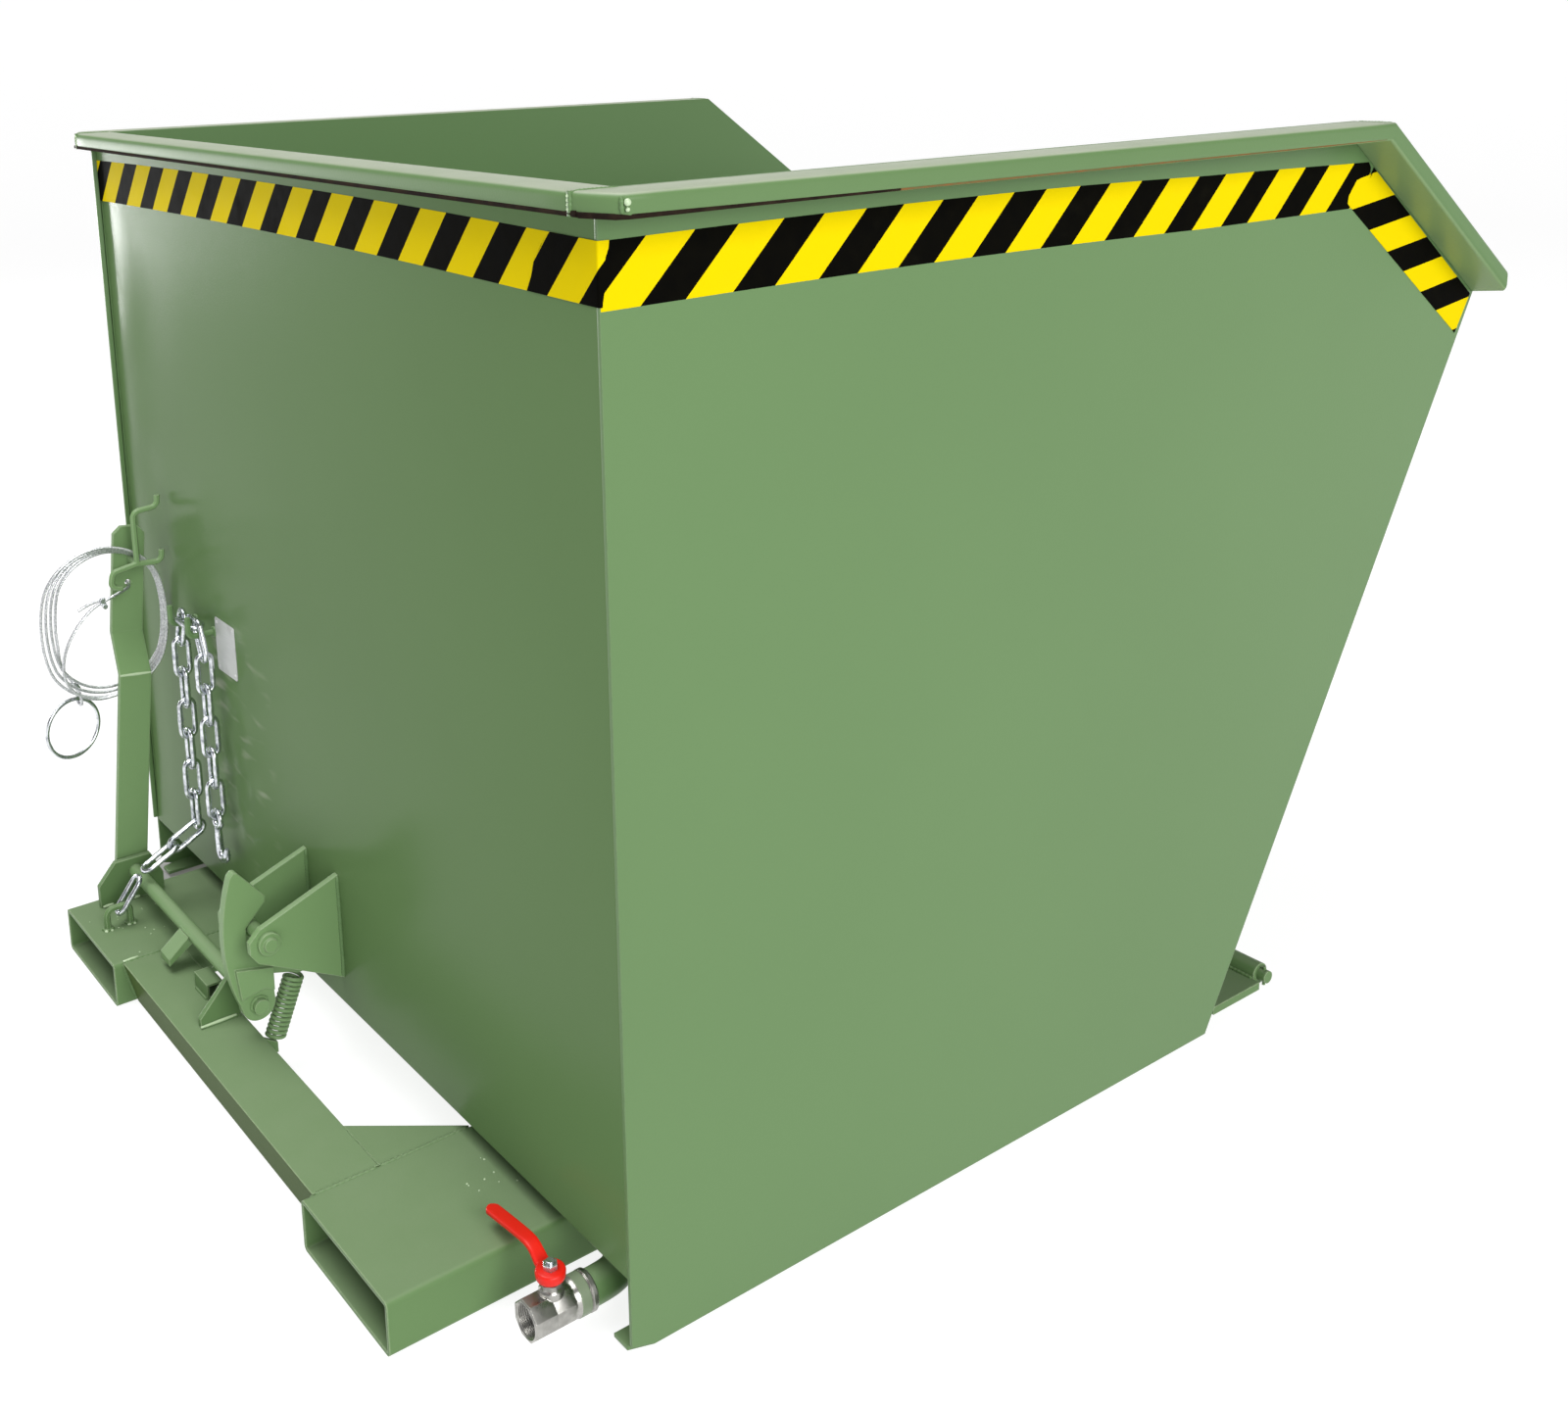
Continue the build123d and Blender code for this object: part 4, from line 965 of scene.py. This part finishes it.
# %% Tape on the sides and down the slope
side_parts, slope_parts = 60, 24
slant = [0, 4, 9, 19, 24, 30, 35, 35, 31]
slope_torn = [-8, -12, -11, -10, -9, -2, 6, 14, 21]
slope_cut = [9 - 1.5 * k for k in range(tape_cells + 1)]


def side_edges(x):
    """Heights of the side tape's two edges; it wavers by a few millimetres and narrows towards the front."""
    low = 971 + 3.5 * sin(pi * min(1.0, x / 760))
    return low, low + 56.5 - 6 * max(0.0, (x - 500) / 530) ** 2


for ending, y, outward in (("right", -600, rightward), ("left", 600, leftward)):
    run = []
    for k in range(side_parts + 1):
        x = 1 + 1025 * k / side_parts
        low, high = side_edges(x)
        run.append((spot(x, y, low), spot(x, y, high), outward))
    tape_strip(f"hazard_tape_{ending}", run, side_tape, last_cut=slant)
    lower_start, upper_start = spot(1026, y, 972), spot(1057, y, 1022)
    lower_end, upper_end = spot(1258, y, 804), spot(1296, y, 843)
    over = outward * 0.0004
    slope_run = []
    for k in range(slope_parts + 1):
        share = k / slope_parts
        lower, upper = lower_start.lerp(lower_end, share), upper_start.lerp(upper_end, share)
        slope_run.append((lower + over, upper + over, outward))
    tape_strip(f"hazard_tape_slope_{ending}", slope_run, slope_tape, slope_torn, slope_cut)

# %% [markdown]
# ## Weld beads
# Every plate of the base is held by weld beads: rippled, a little uneven, and painted over. A bump along the
# seam would stay flat in a side view, so each bead is a bar whose radius swells and shrinks like a row of
# coins. Seams that were ground flush in the photograph get a thin bead, tacks get a short one.

# %% How a bead is laid
noise.seed_set(7)  # without a seed, noise_vector starts from the clock
beads = {body: Shape() for body in ("base", "container", "latch")}


def weld(body, start, end, radius=2.6, ripple=4.0):
    """One bead between two places; all sizes in millimetres."""
    start, end = spot(*start), spot(*end)
    length = (end - start).length * 1000
    parts = max(6, ceil(length / ripple * 4))
    line, sizes = [], []
    for k in range(parts + 1):
        along = length * k / parts
        place = start.lerp(end, k / parts)
        line.append(place + noise.noise_vector(place * 90) * 0.0003)
        taper = min(1.0, 0.45 + min(along, length - along) / (2 * radius))
        swell = 1 + 0.13 * sin(2 * pi * along / ripple) + 0.12 * noise.noise(place * 140)
        sizes.append(radius * taper * swell / 1000)
    beads[body].bar(line, sizes, 8)


def ring_weld(body, centre, axis, ring, radius=2.0):
    """A bead round a bar; sizes in millimetres."""
    axis = Vector(axis).normalized()
    across = axis.orthogonal().normalized()
    line, sizes = [], []
    for k in range(40):
        turn = 2 * pi * k / 40
        line.append(centre + (across * cos(turn) + axis.cross(across) * sin(turn)) * ring / 1000)
        sizes.append(radius * (1 + 0.15 * sin(turn * 9) + 0.15 * sin(turn * 4 + 1)) / 1000)
    beads[body].bar(line, sizes, 8, True)


# %% Beads along the seams
for side in (1, -1):
    inner, beside_inner, rim_joint = 277 * side, 279.2 * side, 600 * side
    weld("base", (-162, beside_inner, 55.4), (-92, beside_inner, 55.4), 3.3, 7.0)
    weld("base", (-164.5, inner, 56), (-151, inner, 4), 2.4)
    weld("base", (-90, beside_inner, 55.4), (14, beside_inner, 55.4), 3.2, 7.0)
    weld("base", (-90, inner, 57.2), (-90, 197 * side, 57.2), 0.9)
    weld("base", (880.6, 279 * side, 10.6), (880.6, 460 * side, 10.6))
    weld("container", (-23.6, 599 * side, 1053), (-23.6, 599 * side, 1066), 2.0)
    weld("container", (-7.4, 646 * side, 1053), (-7.4, 646 * side, 1066), 2.0)
    weld("container", (-20, rim_joint, 1068.6), (22, rim_joint, 1068.6), 1.3)
    weld("container", (1028, 602 * side, 1068.4), (1028, 643 * side, 1068.4), 1.2)
    for arm_face in (390 * side - 8, 390 * side + 8):
        weld("container", (876.5, arm_face, 84), (940.5, arm_face, 199), 2.4)
for start, end in ((-138, -122), (-106, -86), (-72, -56)):
    weld("base", (start, 432, 58.5), (end, 432, 58.5), 3.0)
weld("base", (-139, 440, 58.5), (-55, 440, 58.5), 2.4)
for lug_face, radius in ((76, 3.0), (84, 2.4)):
    weld("base", (-139, lug_face, 57.5), (-94, lug_face, 57.5), radius)
for block_face in (-112.4, -91.6):
    weld("base", (block_face, 131, 57.4), (block_face, 167, 57.4), 2.0)
for eye_leg in (-151, -121):
    ring_weld("base", spot(eye_leg, 372, 58.6), upward, 5.4, 2.4)
for low, high in ((-566, -406), (-374, 374), (406, 566)):
    weld("base", (970.6, low, 11.2), (970.6, high, 11.2), 2.4, 6.0)
for bracket_face in (-21, -13, 64, 72):
    weld("container", (-0.8, bracket_face, 119), (-0.8, bracket_face, 245))
for hook in ("chain_hook_left", "chain_hook_right"):
    low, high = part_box(hook)
    foot = Vector((spot(-0.6, 0, 0).x, (low.y + high.y) / 2, low.z + 0.004))
    ring_weld("container", foot, behind, 5.0, 2.2)
for y, ring, radius in ((18.6, 9.4, 2.0), (31.4, 10.0, 2.4), (445.4, 10.0, 2.4), (455, 9.6, 2.4)):
    ring_weld("latch", spot(-90, y, 97), leftward, ring, radius)
weld("latch", (-97.5, 213, 99), (-97.5, 247, 99), 2.2)
for side in (1, -1):
    weld("container", (6, 595.5 * side, 87.5), (858, 595.5 * side, 87.5), ripple=8.0)
weld("container", (4.5, -594, 87.5), (4.5, 594, 87.5), ripple=8.0)
for body, finish in (("base", base_paint), ("container", green_paint), ("latch", frame_paint)):
    beads[body].piece(f"weld_beads_{body}", body, "green_paint", finish, sharp=60)

# %% [markdown]
# ### Spatter
# Welding throws small drops that stick to the sheet. They sit on the fork pockets, and as knobs on the rim's
# corners. Each is a low dome in a pale, glossy green: the paleness is a painted glint. A fixed seed scatters the
# drops, so the script gives the same result each time. A few beads and a line across the lever's bend get the
# same pale finish, as painted highlights.

# %% Drops, knobs and beads, pale as painted glints
drops = {body: Shape() for body in ("base", "container", "latch")}
dome = ((-0.3, 0.9), (0, 1), (0.45, 0.8), (0.75, 0.4))


def drop(body, place, way, size):
    """A low dome; the size is its radius in millimetres."""
    drops[body].turned(place, way, [(rise * size, radius * size) for rise, radius in dome], 12)


pocket_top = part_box("fork_pocket_left")[1].z * 1000
scatter = random.Random(7)
for reach, y, spread, count in ((-124, 385, 24, 14), (-14, -350, 18, 9), (-108, 330, 16, 5)):
    for number in range(count):
        place = spot(scatter.gauss(reach, spread), scatter.gauss(y, spread), pocket_top)
        drop("base", place, upward, scatter.uniform(0.7, 1.4))
for side, outward in ((1, leftward), (-1, rightward)):
    for z in (1054.5, 1058, 1061.5, 1065):
        drop("container", spot(-24.4, 597 * side, z), behind, 1.8)
    for z, size in ((1062, 3.2), (1056.5, 2.0)):
        drop("container", spot(-4, 649 * side, z), outward, size)
for eye_leg in (-151, -121):
    drop("base", spot(eye_leg - 4, 366, pocket_top + 0.6), upward, 2.6)
    drop("base", spot(eye_leg + 3, 365, pocket_top + 0.4), upward, 2.0)
# Pale bars across the lever's bend, the lug's foot, the tacks and the pocket's corner: painted highlights.
lever_bend_highlight = ("latch", spot(-81, 446, 368), spot(-40, 446, 363.6))
lug_foot = ("base", spot(-142, 74, 59.5), spot(-98, 74.4, 59.8))
pocket_corner = ("base", spot(-163, 280, 58), spot(-144, 280, 58))
tacks = [("base", spot(a, 430, 60.2), spot(b, 430, 60.2)) for a, b in ((-138, -124), (-104, -88), (-70, -58))]
for body, start, end in (lever_bend_highlight, lug_foot, *tacks, pocket_corner):
    drops[body].bar([start, start.lerp(end, 0.55), end], [0.0014, 0.0021, 0.0014], 8)
for body, shape in drops.items():
    shape.piece(f"weld_drops_{body}", body, "green_paint", wet_paint, sharp=60)

# %% [markdown]
# ## Lines under the rim
# Along the lower edge of the rim runs a fine brown line on the sides, and a broad dark one at the back, a
# painted shade for the gap where the rim stands off the wall a little. A line in the paint would need a place on
# every face, so both are thin beads under the edge, with a brown and a dark finish.

# %% Brown line and painted shade under the rim


def seam_finish(name, first, second):
    """A dull, patchy finish between two colours."""
    f = Finish(name)
    patches = f.ramp(f.cloud(40.0, 5.0, 0.6), 0.35, 0.65)
    return f.surface({
        "Base Color": f.mix(patches, first, second),
        "Roughness": 0.75 + patches * 0.15,
        "Normal": f.bump(f.cloud(900.0), 0.0002),
        "Specular IOR Level": 0.05,
    })


seam_rust = seam_finish("seam_rust", colour(122, 84, 50), colour(96, 92, 60))
# A dark finish for the bars in the gap behind the rim: painted shade.
seam_dark = seam_finish("seam_dark", colour(26, 18, 15), colour(44, 34, 26))
side_seam, rear_shade_bars = Shape(), Shape()
side_reaches, side_sizes = (280, 500, 700, 900, 1012), [0.0014, 0.0013, 0.0012, 0.0011, 0.0006]
corner_turn = ((280, 648), (120, 648), (0, 648), (-9, 641), (-20.5, 606))
for side in (1, -1):
    side_seam.bar([spot(x, 648 * side, 1051) for x in side_reaches], side_sizes, 6)
    corner_line = [spot(x, y * side, 1051) for x, y in corner_turn]
    rear_shade_bars.bar(corner_line, [0.0014, 0.0018, 0.0024, 0.0030, 0.0032], 8)
rear_shade_bars.bar([spot(-22.4, y, 1051.4) for y in (-606, -300, 0, 300, 606)], 0.0028, 8)
side_seam.piece("rim_seam_sides", "container", "green_paint", seam_rust)
rear_shade_bars.piece("rim_seam_rear", "container", "green_paint", seam_dark)

# %% [markdown]
# ## Chain
# The safety chain is welded from round bar, zinc plated, each link at a right angle to the next. The solids
# show where each link lies: the longest direction of its corners runs along it, the shortest one is the way
# through its eye. A round link with a small weld swelling on one side is put in each place.

# %% Round links
link_half, link_bow, link_wire = 0.0165, 0.0095, 0.0034


def loose_parts(node):
    """The corners of each separate solid in a node, in the order of the mesh."""
    work = bmesh.new()
    work.from_mesh(frame["nodes"][node].data)
    bmesh.ops.remove_doubles(work, verts=work.verts, dist=1e-5)
    work.verts.index_update()
    reached, parts = set(), []
    for first in work.verts:
        if first.index in reached:
            continue
        reached.add(first.index)
        part, edge = [], [first]
        while edge:
            corner = edge.pop()
            part.append(corner.co.copy())
            for line in corner.link_edges:
                other = line.other_vert(corner)
                if other.index not in reached:
                    reached.add(other.index)
                    edge.append(other)
        parts.append(np.array(part))
    work.free()
    return parts


def one_way(axis):
    """The axis or its opposite: a fit leaves the sign open, so the largest part is made positive."""
    return Vector(axis if max(axis, key=abs) > 0 else -axis)


def round_link(shape, corners):
    """One welded link where a plain one lies."""
    middle = Vector(corners.mean(0))
    axes = np.linalg.svd(corners - corners.mean(0))[2]
    along, across = one_way(axes[0]), one_way(axes[1])
    line = [middle + along * link_half * k / 4 - across * link_bow for k in range(-3, 4)]
    for sign in (1, -1):
        for k in range(13):
            turn = (k / 12 - 0.5) * pi
            bow = along * (link_half + link_bow * cos(turn)) + across * link_bow * sin(turn)
            line.append(middle + bow * sign)
    sizes = [link_wire * (1.14 if k == 3 else 1.07 if k in (2, 4) else 1.0) for k in range(len(line))]
    shape.bar(line, sizes, 12, True)


for node, body in (("safety_chain", "container"), ("eye_link", "base")):
    links = Shape()
    parts = loose_parts(node)
    for corners in parts:
        round_link(links, corners)
    links.piece(f"{node}_links", body, "galvanised", galvanised, [node], 60)
    print(node, len(parts), "links")

# %% [markdown]
# ### End hook
# The free end of the chain carries a small forged hook. Forging leaves no corners, so the eye and the hook are
# two round bars that run into each other, thick where they are loaded and thin at the tip.

# %% Forged hook
hook_low, hook_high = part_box("chain_end_hook")
hook_x = (hook_low.x + hook_high.x) / 2
hook_eye = Vector((hook_x, hook_high.y - 0.014, hook_high.z - 0.014))
hook_bowl = Vector((hook_x, hook_low.y + 0.016, hook_low.z + 0.016))
eye_ring, bowl_ring, eye_parts, bowl_parts = 0.0108, 0.0115, 40, 14
forging = Shape()
eye_turns = [2 * pi * k / eye_parts for k in range(eye_parts)]
eye_round = [hook_eye + Vector((0, cos(t), sin(t))) * eye_ring for t in eye_turns]
forging.bar(eye_round, [0.0034 + 0.0008 * max(0, -sin(t)) for t in eye_turns], 12, True)
hook_line = [hook_eye + Vector((0, 0.0006, -0.012 - 0.005 * k)) for k in range(5)]
for k in range(bowl_parts + 1):
    turn = pi * k / bowl_parts
    hook_line.append(hook_bowl + Vector((0, cos(turn), -sin(turn))) * bowl_ring)
hook_line += [hook_bowl + Vector((0, -0.0119, 0.003)), hook_bowl + Vector((0, -0.0132, 0.0065))]
hook_sizes = [0.0046 + 0.0009 * sin(pi * k / (len(hook_line) - 1)) for k in range(len(hook_line))]
hook_sizes[-3:] = [0.0042, 0.0037, 0.0026]
forging.bar(hook_line, hook_sizes, 14)
forging.piece("chain_hook_forging", "container", "galvanised", galvanised, ["chain_end_hook"], 60)

# %% [markdown]
# ## Latch spring
# A close-wound tension spring pulls the pawl over the striker. It has fourteen curls and a side hook at each
# end, and was painted over with the rest. One end stays on the base and the other moves with the latch; the mesh
# is put on neither body.

# %% Fourteen curls
spring_low, spring_high = spot(-77, 25, 33), spot(-38, 25, 128)
spring_axis = (spring_high - spring_low).normalized()
spring_length = (spring_high - spring_low).length * 1000
spring_side = spring_axis.cross(leftward)
coil_r, hook_r, coil_first, coil_last = 10.4, 5.5, 14, 89
curls, parts_a_curl = 14, 24


def on_spring(u, v, w):
    """A point in millimetres: across Y, across the spring and along it."""
    return spring_low + (leftward * u + spring_side * v + spring_axis * w) / 1000


def on_hook(height, turn):
    """A point on a bow of an end hook; the turn is in degrees."""
    return on_spring(coil_r, hook_r * cos(radians(turn)), height + hook_r * sin(radians(turn)))


spring_line = [on_spring(coil_r, hook_r, 5)]
spring_line += [on_hook(0, -18 * k) for k in range(11)]
spring_line += [on_spring(coil_r, -hook_r, 4)]
spring_line += [on_hook(coil_first - hook_r, 180 - 15 * k) for k in range(6)]
for k in range(curls * parts_a_curl + 1):
    turn = 2 * pi * k / parts_a_curl
    height = coil_first + (coil_last - coil_first) * k / (curls * parts_a_curl)
    spring_line.append(on_spring(coil_r * cos(turn), coil_r * sin(turn), height))
spring_line += [on_hook(coil_last + hook_r, 15 * k - 90) for k in range(1, 7)]
spring_line += [on_hook(spring_length, 18 * k) for k in range(11)]
spring_line += [on_spring(coil_r, -hook_r, spring_length - 4)]
spring_piece = Shape().bar(spring_line, 0.0023, 10).piece(
    "latch_spring_wire", None, "green_paint", frame_paint, ["latch_spring"], 60
)
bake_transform(spring_piece)

# %% [markdown]
# ## Drain tap
# A ball valve of nickel-plated brass sits on a bent pipe behind the rear wall. Its mouth has eight flats for
# a spanner and a thread inside. Steps and flats could be cut by booleans; one turned outline, with flats where
# the photograph shows them, gives clean faces. Green spray covers the collar beside the pipe.

# %% Valve body
valve_axis, valve_way, valve_sides = spot(-73, -534, 35), (1, 0, 0), 64
outside = [
    (0, 17.0), (0, 21.0, 17.8), (1.0, 22.0, 18.8), (23.0, 22.0, 18.8), (24.0, 21.0, 18.2), (25.0, 22.0, 18.8),
    (43.0, 22.0, 18.8), (45.0, 21.0, 18.0), (46.0, 18.2), (47.5, 18.2), (49.0, 19.0), (51.0, 19.4),
    (62.0, 19.4), (63.0, 18.6), (63.8, 20.0), (68.0, 20.0), (70.0, 17.8),
]
inside = [(70.0, 14.0), (58.0, 13.6), (56.0, 12.4), (15.0, 12.4), (13.5, 15.0)]
thread_rounds, thread_pitch = 6, 2.1
for number in range(thread_rounds):
    inside += [(12.6 - thread_pitch * number, 15.1), (11.6 - thread_pitch * number, 16.3)]
inside += [(0.6, 16.6)]
casting = Shape().turned(valve_axis, valve_way, outside + inside, valve_sides, 8)
del casting.faces[-2:]
last_ring = (len(outside) + len(inside) - 1) * valve_sides
for k in range(valve_sides):
    turn = (k + 1) % valve_sides
    casting.faces.append((last_ring + k, last_ring + turn, turn, k))
bonnet = [(0, 12.0), (7.0, 12.0), (8.5, 10.6), (9.0, 10.6, 9.6), (14.0, 10.6, 9.6), (14.5, 9.0)]
casting.turned(spot(-44, -534, 50), upward, bonnet, 36, 6)
casting.piece("valve_casting", "container", "valve_brass", nickel, ["valve_body"], 32)

# %% Sprayed collar and pipe
sprayed = paint("overspray", colour(112, 126, 102), shine=0.4, dust=0.0)
collar = [(50.4, 18.9), (51.2, 19.7), (61.6, 19.7), (62.4, 18.9)]
collar_shape = Shape().turned(valve_axis, valve_way, collar, valve_sides)
collar_shape.piece("collar_overspray", "container", "green_paint", sprayed)

pipe_bend = ((40, 83), (40, 66), (38, 50), (28, 38), (12, 35), (-4, 35))
pipe_line = smooth_line([spot(reach, -534, z) for reach, z in pipe_bend], 8)
Shape().bar(pipe_line, 0.0176, 40).piece("drain_bend", "container", "green_paint", green_paint, ["drain_pipe"])

# %% [markdown]
# ### Tap lever
# A red plastic-dipped lever turns the ball. It is a flat bar, pressed to a step near the hub and rounded by
# the dip. A box with bevelled edges would look sawn off, so a soft section is carried along the bent line.

# %% Red dip
red, bright_red = colour(206, 20, 12), colour(228, 76, 36)
f = Finish("red_dip")
soft = f.cloud(60.0, 3.0)
lever_normal = f.rounded(0.0012)
red_dip = f.surface({
    "Base Color": f.mix(f.ramp(f.edge(lever_normal), 0.2, 0.9) * 0.5 + soft * 0.12, red, bright_red),
    "Roughness": 0.30 + soft * 0.14,
    "Normal": f.bump(soft + f.cloud(600.0) * 0.25, 0.00018, lever_normal),
    "Specular IOR Level": 0.3,
})
print("finish", red_dip.name)

# %% Red lever


def soft_power(value, power):
    """A power that keeps the sign."""
    return abs(value) ** power * (1 if value > 0 else -1)


def flat_bar(shape, line, widths, thick, wide, corner, sides=28):
    """A bar of rounded flat section along a line; sizes in millimetres."""
    rows = []
    for (tangent, *_), point, width in zip(carried_frames(line), line, widths):
        tall = tangent.cross(wide).normalized()
        row = []
        for k in range(sides):
            turn = 2 * pi * k / sides
            aside = soft_power(cos(turn), corner) * width / 2000
            row.append(point + wide * aside + tall * (soft_power(sin(turn), corner) * thick / 2000))
        rows.append(row)
    return shape.rings(rows)


hub = [(0, 11.5), (0.8, 13.4), (2.5, 14.2), (8.0, 14.6), (10.0, 13.8), (10.8, 12.0)]
lever = Shape().turned(spot(-44, -534, 67), upward, hub, 40)
tap_route = (
    (-537, 72.5), (-527, 72), (-520, 73.5), (-508, 83), (-498, 85.5), (-476, 83), (-452, 79.5), (-430, 76),
    (-424, 75),
)
lever_line = smooth_line([spot(-44, y, z) for y, z in tap_route], 5)
tip_share = 0.07
lever_widths = []
for number in range(len(lever_line)):
    share = number / (len(lever_line) - 1)
    tip = max(0.0, (share - 1 + tip_share) / tip_share)
    lever_widths.append((17 - 4 * min(1, share * 3) + 1.5 * share) * max(0.35, (1 - tip * tip) ** 0.5))
flat_bar(lever, lever_line, lever_widths, 6.0, Vector((1, 0, 0)), 0.45)
lever.piece("tap_lever", "tap", "red_coat", red_dip, ["tap_handle"], 50)

# %% [markdown]
# ## Rating plate
# A thin bare plate is fixed beside the chain: brushed sheet with a rivet in each corner and a few handling
# marks. The plate itself is the CAD solid. Noise that is stretched along one axis makes the brush lines, and
# the rivets are low turned domes, because a bump would not stand out from the side.

# %% Bare plate and rivets
f = Finish("bare_plate")
brush = f.cloud(60.0, 4.0, 0.6, f.stretched((1.0, 0.6, 14.0)))
marks = f.ramp(f.cloud(26.0, 4.0, 0.6), 0.52, 0.72)
light_sheet, grey_sheet, handled = colour(208, 210, 208), colour(186, 188, 187), colour(162, 164, 160)
bare_plate = f.surface({
    "Base Color": f.mix(marks * 0.5, f.mix(brush, light_sheet, grey_sheet), handled),
    "Metallic": 0.55 + marks * 0.1,
    "Roughness": 0.42 + brush * 0.16,
    "Normal": f.bump(brush, 0.00008, f.rounded(0.0006)),
})
plate_low, plate_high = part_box("rating_plate")
rivets, rivet_inset = Shape(), 0.006
rivet = [(0, 2.6), (0.5, 2.5), (1.0, 1.9), (1.3, 0.8)]
for y in (plate_low.y + rivet_inset, plate_high.y - rivet_inset):
    for z in (plate_low.z + rivet_inset, plate_high.z - rivet_inset):
        rivets.turned(Vector((plate_low.x + 0.0003, y, z)), behind, rivet, 16)
rivets.piece("plate_rivets", "container", "bare_plate", bare_plate)

# %% [markdown]
# ## Finishes on the CAD pieces
# Every solid that stays gets the finish of its material slot. Green pieces take the shade of what they belong
# to: trough, base, latch or cross member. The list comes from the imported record, so no solid is forgotten.

# %% Dress the solids
slot_finish = {
    "green_paint": green_paint,
    "zinc_steel": zinc,
    "galvanised": galvanised,
    "wire_rope": rope_wire,
    "valve_brass": nickel,
    "chrome_ball": chrome,
    "red_coat": red_dip,
    "bare_plate": bare_plate,
}
bodies = frame["record"]["behaviour"]["bodies"]
frame_nodes = ("latch_bracket_left", "latch_bracket_right", "striker_bolt", "striker_nut")
for row in frame["record"]["subparts"]:
    node = row["node"]
    finish = slot_finish[row["material_slot"]]
    if node == "rear_cross_member":
        finish = cross_paint
    elif finish is green_paint and node in bodies["base"]:
        finish = base_paint
    elif finish is green_paint and (node in bodies["latch"] or node in frame_nodes):
        finish = frame_paint
    for place in frame["nodes"][node].material_slots:
        place.material = finish
